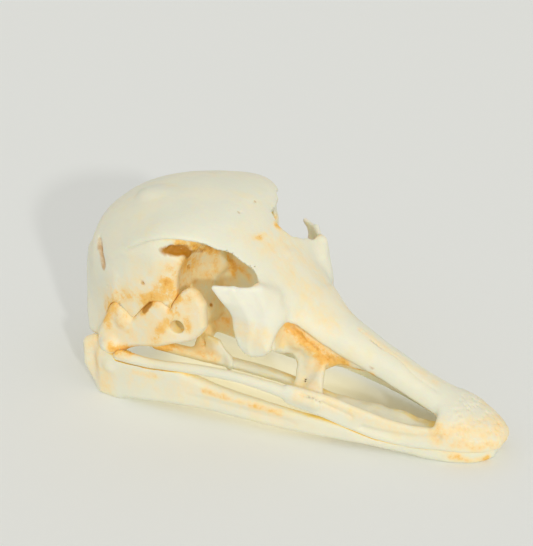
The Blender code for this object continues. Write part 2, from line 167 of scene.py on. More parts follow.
class Bone:
    """Signed distance in millimetres on an even grid. Bone is where it is negative."""

    def __init__(self, low, high, voxel, seed):
        self.voxel = voxel
        self.seed = seed
        self.axes = [
            np.arange(first, last + voxel, voxel, dtype=np.float32)
            for first, last in zip(low, high)
        ]
        self.low = np.array([axis[0] for axis in self.axes])
        self.high = np.array([axis[-1] for axis in self.axes])
        self.values = np.full([len(axis) for axis in self.axes], FAR, np.float32)
        self.noises = {}

    def around(self, points):
        """Which of the points are on the grid."""
        return ((points > self.low) & (points < self.high)).all(1)

    def window(self, low, high):
        """The part of the grid between two corners: its slices and its coordinates."""
        cuts = []
        for axis, first, last in zip(self.axes, low, high):
            start = max(0, int(np.searchsorted(axis, first)) - 1)
            stop = min(len(axis), int(np.searchsorted(axis, last)) + 1)
            cuts.append(slice(start, max(start, stop)))
        x, y, z = (axis[cut] for axis, cut in zip(self.axes, cuts))
        return tuple(cuts), x[:, None, None], y[None, :, None], z[None, None, :]

    def apply(self, cuts, distance, blend, cut):
        """Joins a shape to the bone, or takes it away."""
        old = self.values[cuts]
        if cut:
            self.values[cuts] = smooth_max(old, -distance, blend)
        else:
            self.values[cuts] = smooth_min(old, distance, blend)

    def noise(self, scale):
        """Smooth noise from about -1 to 1 on the whole grid, with lumps of size scale."""
        if scale not in self.noises:
            rng = np.random.default_rng(self.seed + int(scale * 10))
            weights = []
            for axis in self.axes:
                place = (axis - axis[0]) / scale + 1
                base = np.floor(place).astype(int)
                part = place - base
                table = np.zeros((len(axis), int(base[-1]) + 3), np.float32)
                rows = np.arange(len(axis))
                spline = (
                    (1 - part) ** 3 / 6,
                    (3 * part**3 - 6 * part**2 + 4) / 6,
                    (-3 * part**3 + 3 * part**2 + 3 * part + 1) / 6,
                    part**3 / 6,
                )
                for offset, weight in enumerate(spline):
                    table[rows, base - 1 + offset] = weight
                weights.append(table)
            shape = [table.shape[1] for table in weights]
            field = rng.uniform(-1, 1, shape).astype(np.float32)
            for table in weights:
                field = np.tensordot(field, table, axes=(0, 1))
            self.noises[scale] = field * 2.2
        return self.noises[scale]

    def sample(self, points, field=None):
        """The field's value at points, from the eight grid values around each."""
        field = self.values if field is None else field
        place = (np.asarray(points) - self.low) / self.voxel
        limit = np.array(field.shape) - 2
        base = np.clip(np.floor(place).astype(int), 0, limit)
        part = np.clip(place - base, 0, 1)
        i, j, k = base.T
        total = 0
        for di in (0, 1):
            for dj in (0, 1):
                for dk in (0, 1):
                    share = (
                        (part[:, 0] if di else 1 - part[:, 0])
                        * (part[:, 1] if dj else 1 - part[:, 1])
                        * (part[:, 2] if dk else 1 - part[:, 2])
                    )
                    total = total + share * field[i + di, j + dj, k + dk]
        return total

    def slope(self, points):
        """The field's gradient at points."""
        h = self.voxel * 0.6
        columns = []
        for axis in range(3):
            offset = np.zeros(3)
            offset[axis] = h
            ahead, behind = self.sample(points + offset), self.sample(points - offset)
            columns.append((ahead - behind) / (2 * h))
        return np.stack(columns, -1)


def chain(bone, points, radii, blend=1.0, flat=None, cut=False, step=3.0, rag=0.0):
    """A bar or a channel along a smooth path. flat is a direction and how much thinner."""
    table = [[*p, r] for p, r in zip(points, radii)]
    table = curve_through(table, step)
    reach = table[:, 3].max() + blend + 2 * bone.voxel
    low, high = table[:, :3].min(0) - reach, table[:, :3].max(0) + reach
    cuts, x, y, z = bone.window(low, high)
    best = np.full(np.broadcast_shapes(x.shape, y.shape, z.shape), FAR, np.float32)
    for first, second in zip(table, table[1:]):
        run = second[:3] - first[:3]
        px, py, pz = x - first[0], y - first[1], z - first[2]
        t = (px * run[0] + py * run[1] + pz * run[2]) / max(run @ run, 1e-9)
        t = np.clip(t, 0, 1)
        qx, qy, qz = px - t * run[0], py - t * run[1], pz - t * run[2]
        square = qx * qx + qy * qy + qz * qz
        if flat is not None:
            direction, factor = flat
            u = np.array(direction, float)
            u = u / np.linalg.norm(u)
            along = qx * u[0] + qy * u[1] + qz * u[2]
            square = square + (factor**2 - 1) * along * along
        best = np.minimum(best, np.sqrt(square) - (first[3] + t * (second[3] - first[3])))
    if rag:
        best = best + rag * bone.noise(RAG_SIZE)[cuts]
    bone.apply(cuts, best, blend, cut)


def ball(bone, centre, radii, blend=1.0, cut=False, rag=0.0):
    """An ellipsoid, joined or taken away. rag makes its skin ragged."""
    centre, radii = np.array(centre, float), np.array(radii, float)
    reach = radii.max() + blend + 2 * bone.voxel + abs(rag)
    cuts, x, y, z = bone.window(centre - reach, centre + reach)
    p = [x - centre[0], y - centre[1], z - centre[2]]
    scaled = sum((q / r) ** 2 for q, r in zip(p, radii))
    steep = sum((q / r**2) ** 2 for q, r in zip(p, radii))
    distance = (np.sqrt(scaled) - 1) * np.sqrt(scaled) / np.sqrt(np.maximum(steep, 1e-9))
    distance = np.where(scaled < 0.05, -radii.min(), distance)
    if rag:
        distance = distance + rag * bone.noise(RAG_SIZE)[cuts]
    bone.apply(cuts, distance.astype(np.float32), blend, cut)


def triangle_distance(p, corners, thick):
    """Distance from points to a triangle's skin, with a thickness at each corner."""
    a, b, c = corners
    ab, ac, bc = b - a, c - a, c - b
    normal = np.cross(ab, ac)
    ap, bp = p - a, p - b
    d00, d01, d11 = ab @ ab, ab @ ac, ac @ ac
    d20, d21 = ap @ ab, ap @ ac
    spread = max(d00 * d11 - d01 * d01, 1e-9)
    v = (d11 * d20 - d01 * d21) / spread
    w = (d00 * d21 - d01 * d20) / spread
    inside = (v >= 0) & (w >= 0) & (v + w <= 1)
    plane = (ap @ normal) ** 2 / max(normal @ normal, 1e-9)
    edges = np.full(len(p), np.inf)
    for start, run in ((ap, ab), (ap, ac), (bp, bc)):
        t = np.clip(start @ run / max(run @ run, 1e-9), 0, 1)
        gap = start - t[:, None] * run
        edges = np.minimum(edges, (gap * gap).sum(1))
    v, w = np.clip(v, 0, 1), np.clip(w, 0, 1)
    half = (thick[0] + v * (thick[1] - thick[0]) + w * (thick[2] - thick[0])) / 2
    half = np.clip(half, min(thick) / 2, max(thick) / 2)
    return np.sqrt(np.where(inside, plane, edges)) - half


def sheet(bone, rows, thickness, blend=1.0, step=3.0, rag=0.0):
    """A thin curved wall through rows of points, all with the same number of points.

    thickness is one number, or one for each row.
    """
    rows = np.array(rows, float)
    thick = np.broadcast_to(np.reshape(thickness, (-1, 1)), rows.shape[:2])
    table = np.concatenate([rows, thick[..., None]], -1)
    table = curve_through(curve_through(table, step, 0), step, 1)
    reach = table[..., 3].max() / 2 + blend + 2 * bone.voxel + abs(rag)
    low = table[..., :3].min((0, 1)) - reach
    high = table[..., :3].max((0, 1)) + reach
    cuts, x, y, z = bone.window(low, high)
    best = np.full([cut.stop - cut.start for cut in cuts], FAR, np.float32)
    axes = [axis[cut] for axis, cut in zip(bone.axes, cuts)]
    quads = [
        (table[i, j], table[i + 1, j], table[i + 1, j + 1], table[i, j + 1])
        for i in range(table.shape[0] - 1)
        for j in range(table.shape[1] - 1)
    ]
    for quad in quads:
        for corners in ((quad[0], quad[1], quad[2]), (quad[0], quad[2], quad[3])):
            corners = np.array(corners)
            low = corners[:, :3].min(0) - reach
            high = corners[:, :3].max(0) + reach
            part = tuple(
                slice(int(np.searchsorted(axis, l)), int(np.searchsorted(axis, h)))
                for axis, l, h in zip(axes, low, high)
            )
            mesh = np.meshgrid(*(axis[s] for axis, s in zip(axes, part)), indexing="ij")
            points = np.stack([m.ravel() for m in mesh], -1)
            if not len(points):
                continue
            found = triangle_distance(points, corners[:, :3], corners[:, 3])
            best[part] = np.minimum(best[part], found.reshape(best[part].shape))
    if rag:
        best = best + rag * bone.noise(RAG_SIZE)[cuts]
    bone.apply(cuts, best, blend, False)


def section_ratio(x, y, z, table, power):
    """How far out a point lies in its section: below 1 is inside the section's outline."""
    behind = TIP_X - x
    half, top, middle, bottom = (
        np.interp(behind, table[:, 0], table[:, k]) for k in (1, 2, 3, 4)
    )
    above = z > middle
    rise = np.where(above, (z - middle) / (top - middle), (middle - z) / (middle - bottom))
    return ((np.abs(y) / half) ** power + rise**power) ** (1 / power)


def ratio_distance(ratio, voxel):
    """About how far a point is from where a smooth ratio is 1."""
    steep = np.sqrt(sum(g * g for g in np.gradient(ratio, voxel)))
    return (ratio - 1) / np.maximum(steep, 1e-4)


def section_table(table, step=2.0):
    """A table of sections read at even steps along the skull."""
    table = np.array(sorted(table), float)
    places = table[:, 0]
    wanted = np.arange(places[0], places[-1] + step / 2, step)
    wanted = np.minimum(wanted, places[-1])
    return np.column_stack([wanted, read_curve(table[:, 1:], places, wanted)])


def section_window(bone, table, bottom, blend):
    """The part of the grid around a body's sections: its slices and its coordinates."""
    reach = 3 * bone.voxel + blend
    low = at(table[-1, 0], -table[:, 1].max(), bottom) - reach
    high = at(table[0, 0], table[:, 1].max(), table[:, 2].max()) + reach
    return bone.window(low, high)


def solid(bone, table, power=2.2, blend=2.0):
    """A closed body from sections: behind, half width, top, widest level, bottom."""
    table = section_table(table)
    cuts, x, y, z = section_window(bone, table, table[:, 4].min(), blend)
    ratio = section_ratio(x, y, z, table, power).astype(np.float32)
    distance = ratio_distance(ratio, bone.voxel)
    behind = TIP_X - x
    ends = np.maximum(table[0, 0] - behind, behind - table[-1, 0])
    bone.apply(cuts, smooth_max(distance, ends, 2.0), blend, False)


def arch(bone, table, power=2.1, blend=2.0):
    """A roof from sections: behind, half width, crown, level of its edges, thickness."""
    table = section_table(table)
    cuts, x, y, z = section_window(bone, table, table[:, 3].min(), blend)
    behind, half, crown, edge, thick = table.T
    below = np.full_like(edge, -200.0)
    outer = np.stack([behind, half, crown, edge, below], -1)
    inner = np.stack([behind, half - thick, crown - thick, edge, below], -1)
    skin = ratio_distance(section_ratio(x, y, z, outer, power), bone.voxel)
    hollow = ratio_distance(section_ratio(x, y, z, inner, power), bone.voxel)
    distance = smooth_max(skin, -hollow, 1.0)
    level = np.interp(TIP_X - x, behind, edge)
    distance = smooth_max(distance, level - z, 1.5)
    ends = np.maximum(behind[0] - (TIP_X - x), (TIP_X - x) - behind[-1])
    bone.apply(cuts, smooth_max(distance, ends, 1.5).astype(np.float32), blend, False)


def seen(bones, px, py, deeper=0.0):
    """The first point of any bone on the photograph camera's ray through a pixel."""
    eye, right, up, back = camera_axes()
    ray = right * (px - PHOTO_WIDTH / 2) + up * (PHOTO_HEIGHT / 2 - py) - back * FOCAL_PIXELS
    ray = ray / np.linalg.norm(ray)
    steps = np.arange(RAY_START, RAY_END, RAY_STEP)
    points = eye + steps[:, None] * ray
    nearest = len(points)
    for bone in bones:
        inside = np.nonzero(bone.around(points))[0]
        hits = inside[bone.sample(points[inside]) < 0]
        if len(hits):
            nearest = min(nearest, hits[0])
    if nearest == len(points):
        return None
    return points[nearest] + deeper * ray


# Meshing


def surface_net(bone):
    """Vertices and quads of the surface where the field is zero."""
    v = bone.values
    inside = v < 0
    counts = sum(
        inside[i:v.shape[0] - 1 + i, j:v.shape[1] - 1 + j, k:v.shape[2] - 1 + k].astype(np.int8)
        for i in (0, 1) for j in (0, 1) for k in (0, 1)
    )
    mixed = (counts > 0) & (counts < 8)
    cells = np.argwhere(mixed)
    index = np.full(mixed.shape, -1, np.int64)
    index[mixed] = np.arange(len(cells))
    corners = {
        (i, j, k): v[cells[:, 0] + i, cells[:, 1] + j, cells[:, 2] + k]
        for i in (0, 1) for j in (0, 1) for k in (0, 1)
    }
    total = np.zeros((len(cells), 3))
    number = np.zeros(len(cells))
    for axis in range(3):
        for first in corners:
            if first[axis]:
                continue
            second = tuple(1 if n == axis else f for n, f in enumerate(first))
            a, b = corners[first], corners[second]
            crossed = (a < 0) != (b < 0)
            t = np.where(crossed, a / np.where(crossed, a - b, 1), 0)
            place = np.tile(np.array(first, float), (len(cells), 1))
            place[:, axis] += t
            total += place * crossed[:, None]
            number += crossed
    vertices = bone.low + (cells + total / number[:, None]) * bone.voxel
    quads = []
    for axis in range(3):
        u, w = (axis + 1) % 3, (axis + 2) % 3
        span = [slice(None)] * 3
        span[axis] = slice(0, -1)
        ahead = list(span)
        ahead[axis] = slice(1, None)
        first, second = inside[tuple(span)], inside[tuple(ahead)]
        edges = np.argwhere(first != second)
        ok = (
            (edges[:, u] > 0) & (edges[:, u] < v.shape[u] - 1)
            & (edges[:, w] > 0) & (edges[:, w] < v.shape[w] - 1)
        )
        edges = edges[ok]
        ring = []
        for du, dw in ((-1, -1), (0, -1), (0, 0), (-1, 0)):
            cell = edges.copy()
            cell[:, u] += du
            cell[:, w] += dw
            ring.append(index[cell[:, 0], cell[:, 1], cell[:, 2]])
        ring = np.stack(ring, -1)
        outward = inside[edges[:, 0], edges[:, 1], edges[:, 2]]
        ring[~outward] = ring[~outward][:, ::-1]
        quads.append(ring)
    quads = np.concatenate(quads)
    return vertices, quads[(quads >= 0).all(1)]


def largest_island(vertices, quads):
    """The mesh without the small crumbs that float free of its main body."""
    label = np.arange(len(vertices))
    edges = np.concatenate([quads[:, [0, 1]], quads[:, [1, 2]], quads[:, [2, 3]]])
    while True:
        old = label.copy()
        low = np.minimum(label[edges[:, 0]], label[edges[:, 1]])
        np.minimum.at(label, edges[:, 0], low)
        np.minimum.at(label, edges[:, 1], low)
        label = label[label]
        if (label == old).all():
            break
    names, counts = np.unique(label, return_counts=True)
    keep = label == names[np.argmax(counts)]
    new = np.cumsum(keep) - 1
    return vertices[keep], new[quads[keep[quads[:, 0]]]]


def relax(bone, vertices, quads, rounds=2):
    """Evens the mesh out and puts each vertex back on the surface."""
    edges = np.concatenate([quads[:, [i, (i + 1) % 4]] for i in range(4)])
    for _ in range(rounds):
        total = np.zeros_like(vertices)
        number = np.zeros(len(vertices))
        for a, b in ((0, 1), (1, 0)):
            for column in range(3):
                total[:, column] += np.bincount(
                    edges[:, a], vertices[edges[:, b], column], len(vertices)
                )
            number += np.bincount(edges[:, a], minlength=len(vertices))
        vertices = vertices * 0.5 + total / number[:, None] * 0.5
        slope = bone.slope(vertices)
        square = np.maximum((slope * slope).sum(1), 0.2)
        step = bone.sample(vertices) / square
        step = np.clip(step, -bone.voxel, bone.voxel)
        vertices = vertices - slope * (step * 0.8)[:, None]
    return vertices


def mesh_from(name, vertices, quads):
    """A Blender mesh in metres from vertices in millimetres and quads."""
    mesh = bpy.data.meshes.new(name)
    mesh.vertices.add(len(vertices))
    mesh.vertices.foreach_set("co", (vertices * MM).astype(np.float32).ravel())
    mesh.loops.add(quads.size)
    mesh.loops.foreach_set("vertex_index", quads.astype(np.int32).ravel())
    mesh.polygons.add(len(quads))
    starts = np.arange(0, quads.size, quads.shape[1], dtype=np.int32)
    mesh.polygons.foreach_set("loop_start", starts)
    mesh.update(calc_edges=True)
    mesh.validate()
    return mesh


def thinned(mesh, triangles):
    """The mesh with at most that many triangles, fewest where it is flattest."""
    obj = bpy.data.objects.new(mesh.name, mesh)
    bpy.context.scene.collection.objects.link(obj)
    now = 2 * len(mesh.polygons)
    if now > triangles:
        thin = obj.modifiers.new("thin", "DECIMATE")
        thin.ratio = triangles / now
        bpy.context.view_layer.update()
        graph = bpy.context.evaluated_depsgraph_get()
        obj.data = bpy.data.meshes.new_from_object(obj.evaluated_get(graph))
        obj.modifiers.clear()
    obj.data.name = obj.name
    obj.data.shade_smooth()
    return obj


def openness(bones, points, normals):
    """The share of directions, of those ahead of each point, that lead out of the bone."""
    total = np.zeros(len(points), np.float32)
    number = np.zeros(len(points), np.float32)
    start = points + normals * 1.2
    for k in range(LOOK_DIRECTIONS):
        rise = 1 - 2 * (k + 0.5) / LOOK_DIRECTIONS
        turn = k * math.pi * (3 - math.sqrt(5))
        level = math.sqrt(1 - rise * rise)
        direction = np.array([level * math.cos(turn), level * math.sin(turn), rise])
        ahead = np.nonzero(normals @ direction > 0.15)[0]
        clear = np.ones(len(ahead), bool)
        for reach in LOOK_STEPS:
            place = start[ahead] + reach * direction
            for bone in bones:
                cell = np.round((place - bone.low) / bone.voxel).astype(int)
                limit = np.array(bone.values.shape) - 1
                inside = ((cell >= 0) & (cell <= limit)).all(1)
                i, j, k2 = np.clip(cell, 0, limit).T
                clear &= ~(inside & (bone.values[i, j, k2] < 0))
        total[ahead] += clear
        number[ahead] += 1
    return total / np.maximum(number, 1)


# The cranium's sections, close to those in the source of the solids. What their columns
# mean is said at solid, and at arch for the two roofs.

BRAINCASE = [
    (116.0, 15.0, 79.0, 68.0, 52.0),
    (121.0, 26.0, 81.5, 69.0, 48.0),
    (128.0, 33.0, 83.0, 70.0, 44.0),
    (140.0, 33.2, 83.4, 66.0, 42.0),
    (151.0, 30.4, 81.2, 61.0, 40.0),
    (161.0, 26.8, 76.8, 55.0, 36.0),
    (168.0, 23.4, 71.2, 52.0, 33.0),
    (174.5, 14.5, 62.8, 48.0, 33.0),
    (178.9, 6.0, 54.0, 47.0, 38.0),
]

SKULL_BASE = [
    (120.0, 12.0, 56.0, 48.0, 30.0),
    (125.0, 23.5, 64.0, 53.0, 26.0),
    (131.0, 30.0, 70.0, 55.0, 24.0),
    (139.0, 32.0, 70.0, 54.0, 23.5),
    (149.0, 31.0, 65.0, 52.0, 24.0),
    (158.0, 28.0, 58.0, 48.0, 24.5),
    (167.0, 22.5, 52.0, 43.0, 26.0),
    (174.5, 12.0, 46.0, 39.0, 30.0),
]

ROOF = [
    (70.0, 10.6, 43.2, 33.0, 3.0),
    (80.0, 16.5, 52.3, 42.0, 3.0),
    (85.0, 21.0, 56.8, 45.5, 3.0),
    (88.5, 23.4, 60.0, 50.5, 3.0),
    (91.5, 21.8, 62.8, 57.0, 3.0),
    (95.0, 20.6, 66.0, 61.0, 3.0),
    (98.0, 21.0, 69.2, 63.6, 3.0),
    (101.0, 22.2, 72.0, 65.8, 3.0),
    (104.0, 24.2, 74.6, 67.6, 3.2),
    (107.0, 26.2, 76.5, 69.6, 3.6),
    (111.0, 29.0, 79.3, 72.8, 4.2),
    (118.0, 33.6, 82.0, 75.2, 5.0),
    (127.0, 36.0, 83.5, 74.5, 5.5),
    (137.0, 35.5, 83.8, 70.0, 6.0),
    (147.0, 33.0, 81.8, 63.5, 6.0),
    (156.0, 28.5, 77.8, 58.0, 6.0),
    (165.0, 20.0, 70.0, 54.0, 6.0),
]

BEAK_ROOF = [
    (14.0, 10.8, 18.0, 13.0, 3.0),
    (24.0, 9.5, 22.3, 14.8, 3.0),
    (36.0, 8.3, 27.0, 18.8, 2.6),
    (46.0, 8.3, 31.4, 22.8, 2.5),
    (58.0, 9.2, 37.0, 27.6, 2.5),
    (68.0, 11.0, 42.6, 32.2, 2.6),
    (78.0, 14.5, 50.3, 41.0, 2.8),
]

BEAK_TIP = [
    (0.0, 2.2, 9.8, 8.2, 7.0),
    (2.0, 5.8, 12.1, 8.0, 5.4),
    (6.0, 9.3, 14.8, 7.6, 5.2),
    (12.0, 12.8, 17.4, 7.6, 5.6),
    (18.0, 14.9, 19.4, 8.2, 6.0),
    (24.0, 16.0, 20.0, 9.0, 6.6),
]


def side_bars(bone, s):
    """Maxilla, palatal shelf, cheek bar and palatine of one side."""
    jugal = points_on(s, [
        (149.0, 34.5, 19.6),
        (134.0, 34.3, 19.9),
        (116.0, 33.8, 22.4),
        (96.0, 32.0, 23.3),
        (80.0, 29.8, 21.4),
        (66.0, 26.8, 18.4),
    ])
    chain(bone, jugal, [2.3, 2.0, 1.9, 2.0, 2.3, 2.7], flat=((0, 1, 0), 1.1))
    maxilla = walls_on(s, [
        ((76.0, 28.8, 22.5), (76.0, 28.8, 18.0)),
        ((62.0, 24.6, 19.8), (62.0, 25.0, 13.4)),
        ((50.0, 21.0, 16.0), (50.0, 21.4, 8.8)),
        ((36.0, 17.4, 12.4), (36.0, 18.4, 6.4)),
        ((20.0, 13.4, 11.8), (20.0, 14.8, 6.8)),
        ((12.0, 11.6, 10.5), (12.0, 12.4, 7.0)),
        ((6.0, 8.0, 9.5), (6.0, 8.6, 7.0)),
        ((2.4, 3.4, 8.8), (2.4, 4.0, 7.2)),
    ])
    sheet(bone, maxilla, 3.0, blend=1.5)
    shelf = walls_on(s, [
        ((22.0, 5.0, 9.4), (22.0, 13.0, 9.6)),
        ((30.0, 6.6, 10.4), (30.0, 16.0, 10.2)),
        ((40.0, 8.2, 12.2), (40.0, 18.0, 12.0)),
        ((52.0, 10.0, 12.8), (52.0, 21.0, 14.6)),
        ((64.0, 13.5, 14.2), (64.0, 24.4, 17.4)),
        ((72.0, 20.0, 17.0), (72.0, 27.0, 18.8)),
    ])
    sheet(bone, shelf, 2.2, blend=1.5, rag=0.55)
    palatine = points_on(s, [
        (62.0, 14.0, 14.2),
        (76.0, 13.5, 15.4),
        (92.0, 13.0, 16.4),
        (106.0, 14.5, 17.4),
        (120.0, 19.0, 19.8),
        (136.0, 26.0, 23.6),
    ])
    radii = [1.8, 2.6, 3.2, 3.2, 3.0, 2.6]
    chain(bone, palatine, radii, blend=1.5, flat=((0.13, 0.31, 0.94), 1.4))
    stem = points_on(s, [(126.0, 3.0, 24.5), (122.0, 17.0, 20.6)])
    chain(bone, stem, [3.6, 2.6], blend=2.0)
    jag = walls_on(s, [
        ((119.0, 15.5, 26.5), (119.0, 16.5, 20.0)),
        ((113.0, 16.5, 26.0), (112.0, 18.0, 18.8)),
        ((108.5, 17.5, 21.0), (108.0, 18.5, 17.2)),
    ])
    sheet(bone, jag, 1.7, blend=1.0, rag=1.1)


def nasal_walls(bone, s):
    """The wall in front of the orbit, the nasal capsule and the column to the maxilla."""
    wall = walls_on(s, [
        ((93.0, 0.5, 62.0), (90.0, 0.5, 26.0)),
        ((93.0, 8.0, 60.0), (90.0, 8.0, 30.0)),
        ((92.0, 15.0, 57.0), (89.0, 14.0, 37.0)),
        ((90.0, 22.0, 55.0), (88.0, 22.0, 45.0)),
    ])
    sheet(bone, wall, 2.4, blend=2.0)
    capsule = walls_on(s, [
        ((88.0, 19.5, 44.0), (87.5, 20.0, 32.5)),
        ((86.0, 14.5, 45.0), (87.2, 15.0, 29.5)),
        ((83.0, 11.0, 43.0), (83.0, 12.0, 28.5)),
        ((78.5, 9.2, 40.0), (79.0, 10.8, 23.0)),
        ((72.0, 7.8, 36.5), (71.5, 9.6, 23.0)),
        ((66.0, 6.6, 33.5), (65.5, 8.0, 26.4)),
        ((58.0, 6.0, 30.5), (58.5, 6.6, 26.2)),
        ((50.5, 5.6, 28.0), (50.5, 6.0, 24.8)),
    ])
    sheet(bone, capsule, 2.4, blend=1.2, step=2.2, rag=0.35)
    knobs = [(82.0, 12.0, 34.0, 4.2), (76.0, 10.5, 30.0, 3.8), (70.5, 9.0, 27.5, 3.0)]
    for behind, side, up, radius in knobs:
        ball(bone, at(behind, s * side, up), (radius, radius * 0.7, radius), 2.0, rag=0.5)
    column = walls_on(s, [
        ((79.6, 10.8, 26.0), (71.0, 10.0, 27.0)),
        ((79.0, 14.0, 22.0), (70.0, 14.0, 23.0)),
        ((77.8, 18.5, 18.0), (67.8, 18.5, 19.4)),
        ((76.6, 21.5, 16.4), (66.0, 21.5, 16.8)),
    ])
    sheet(bone, column, [2.6, 2.2, 2.0, 2.6], blend=2.0, rag=0.7)


def lacrimal(bone, s):
    """The plate in front of the eye, with its backward spike and its foot."""
    root = points_on(s, [
        (87.4, 20.0, 54.0), (87.0, 21.2, 51.0), (87.0, 21.8, 47.5), (87.2, 22.8, 44.5),
        (87.4, 24.4, 40.0), (87.4, 26.3, 36.0), (88.4, 27.0, 33.6),
    ])
    shoulder = points_on(s, [
        (90.2, 25.2, 58.2), (89.4, 25.0, 54.2), (89.2, 24.6, 49.8), (89.2, 24.6, 45.4),
        (89.6, 25.4, 40.4), (90.0, 26.9, 35.8), (89.8, 27.3, 33.3),
    ])
    bow = points_on(s, [
        (96.8, 32.8, 60.0), (95.0, 31.4, 55.4), (93.5, 29.2, 50.4), (92.5, 27.8, 46.2),
        (93.0, 27.2, 40.6), (93.5, 27.6, 35.6), (92.0, 27.8, 32.7),
    ])
    tip = points_on(s, [
        (103.2, 35.8, 60.7), (100.4, 35.0, 57.0), (98.8, 31.4, 51.2), (98.2, 29.2, 47.2),
        (98.5, 28.0, 41.0), (97.0, 28.0, 35.5), (94.5, 28.0, 32.4),
    ])
    thickness = [2.0, 2.0, 2.4, 2.8, 2.8, 2.4, 1.8]
    sheet(bone, list(zip(root, shoulder)), [3.6, 3.6, 3.4, 3.2, 2.8, 2.4, 1.8], blend=6.0)
    sheet(bone, list(zip(shoulder, bow)), thickness, blend=2.5, rag=0.12)
    sheet(bone, list(zip(bow, tip)), thickness, blend=1.5, rag=0.12)
    crease = points_on(s, [(88.6, 22.4, 51.0), (88.4, 24.2, 44.0), (88.0, 26.4, 35.0)])
    chain(bone, crease, [0.9, 1.3, 1.1], blend=2.5)
    strip = walls_on(s, [
        ((88.4, 21.5, 53.0), (84.6, 18.8, 47.5)),
        ((88.0, 23.0, 47.5), (85.0, 21.4, 44.5)),
        ((88.0, 24.6, 41.0), (86.0, 23.8, 40.5)),
        ((87.6, 26.4, 35.0), (86.0, 27.0, 36.0)),
    ])
    sheet(bone, strip, 2.4, blend=3.0)


def ear_wing(bone, s):
    """The wing of bone that hangs from the braincase behind the ear."""
    wing = walls_on(s, [
        ((150.0, 29.5, 52.0), (171.0, 17.0, 54.0)),
        ((151.0, 29.5, 43.0), (173.5, 16.0, 44.0)),
        ((153.0, 29.0, 35.0), (173.0, 17.5, 35.0)),
        ((157.0, 29.0, 28.0), (170.0, 22.0, 27.5)),
        ((160.0, 28.5, 24.6), (167.0, 25.0, 23.4)),
    ])
    sheet(bone, wing, 4.6, blend=2.5)


def side_wall(bone, s):
    """The wall of the braincase over the ear, flush with the quadrate under it."""
    wall = walls_on(s, [
        ((171.0, 14.0, 54.0), (171.0, 18.0, 30.0)),
        ((165.0, 19.0, 56.0), (165.0, 23.4, 27.0)),
        ((158.0, 24.3, 58.0), (158.0, 27.8, 28.0)),
        ((151.0, 28.0, 60.0), (151.0, 30.6, 36.0)),
        ((144.0, 30.4, 63.0), (144.0, 31.0, 35.0)),
        ((136.0, 31.0, 66.0), (136.0, 31.0, 38.0)),
        ((129.0, 30.6, 66.0), (129.0, 30.6, 42.0)),
        ((124.0, 28.4, 64.0), (124.0, 29.0, 46.0)),
        ((120.5, 26.4, 60.5), (120.0, 27.4, 51.0)),
    ])
    sheet(bone, wall, 4.4, blend=3.0)


def midline(bone):
    """The wall between the eyes and the nostrils, and the beam under it."""
    levels = [
        (124.0, 78.0, 23.0), (110.0, 75.0, 23.0), (95.0, 63.0, 20.0),
        (82.0, 50.0, 18.5), (70.0, 41.0, 20.5), (56.0, 34.0, 22.0),
    ]
    septum = [(at(behind, 0, top), at(behind, 0, bottom)) for behind, top, bottom in levels]
    sheet(bone, septum, 2.0, blend=2.0)
    beam = [at(134.0, 0, 27.0), at(118.0, 0, 24.0), at(92.0, 0, 21.5), at(76.0, 0, 21.0)]
    chain(bone, beam, [4.6, 3.6, 3.0, 1.8], blend=2.0)


def broken_brow(bone, s):
    """The ragged break in the brow of one side, with the rim that hangs behind it."""
    ball(bone, at(99.6, s * 22.5, 70.0), (8.8, 15.5, 12.0), 0.5, cut=True, rag=1.0)
    ball(bone, at(104.5, s * 29.5, 70.0), (8.8, 8.5, 11.0), 0.5, cut=True, rag=0.8)
    rim = walls_on(s, [
        ((107.6, 15.5, 74.0), (107.0, 17.6, 63.8)),
        ((110.0, 19.0, 75.0), (109.5, 21.5, 65.5)),
        ((114.0, 24.0, 76.0), (114.5, 25.0, 70.0)),
    ])
    sheet(bone, rim, 2.4, blend=1.5, rag=0.6)


def cranium():
    """The cranium: bodies and walls, then the hollows cut out of them, then thin plates."""
    bone = Bone((-93, -40, 2), (93, 40, 87), CRANIUM_VOXEL, seed=11)
    solid(bone, BRAINCASE, 2.2, 2.0)
    solid(bone, SKULL_BASE, 2.4, 3.0)
    ball(bone, at(175.0, 0, 32.0), (5.0, 4.6, 4.0), 1.5)
    arch(bone, ROOF, 1.85, 1.2)
    arch(bone, BEAK_ROOF, 2.2, 2.0)
    solid(bone, BEAK_TIP, 2.3, 2.0)
    midline(bone)
    for s in (RIGHT, LEFT):
        side_bars(bone, s)
        nasal_walls(bone, s)
        side_wall(bone, s)
        ear_wing(bone, s)
    ball(bone, at(146.0, 0, 57.0), (21.0, 23.0, 18.0), 1.0, cut=True)
    chain(bone, [at(186.0, 0, 41.0), at(158.0, 0, 47.0)], [6.0, 7.0], 1.0, cut=True)
    for s in (RIGHT, LEFT):
        ball(bone, at(111.5, s * 22.5, 53.5), (13.0, 17.0, 17.5), 1.5, cut=True)
    broken_brow(bone, LEFT)
    for s in (RIGHT, LEFT):
        lacrimal(bone, s)
    weathering(bone)
    return bone


def skin_point(bone, behind, side):
    """The highest point of the bone at a place seen from above."""
    levels = np.arange(SKULL_TOP, 0.0, -0.2)
    column = np.stack([np.full_like(levels, TIP_X - behind), np.full_like(levels, side), levels], -1)
    hits = np.nonzero(bone.sample(column) < 0)[0]
    return column[hits[0]] if len(hits) else None


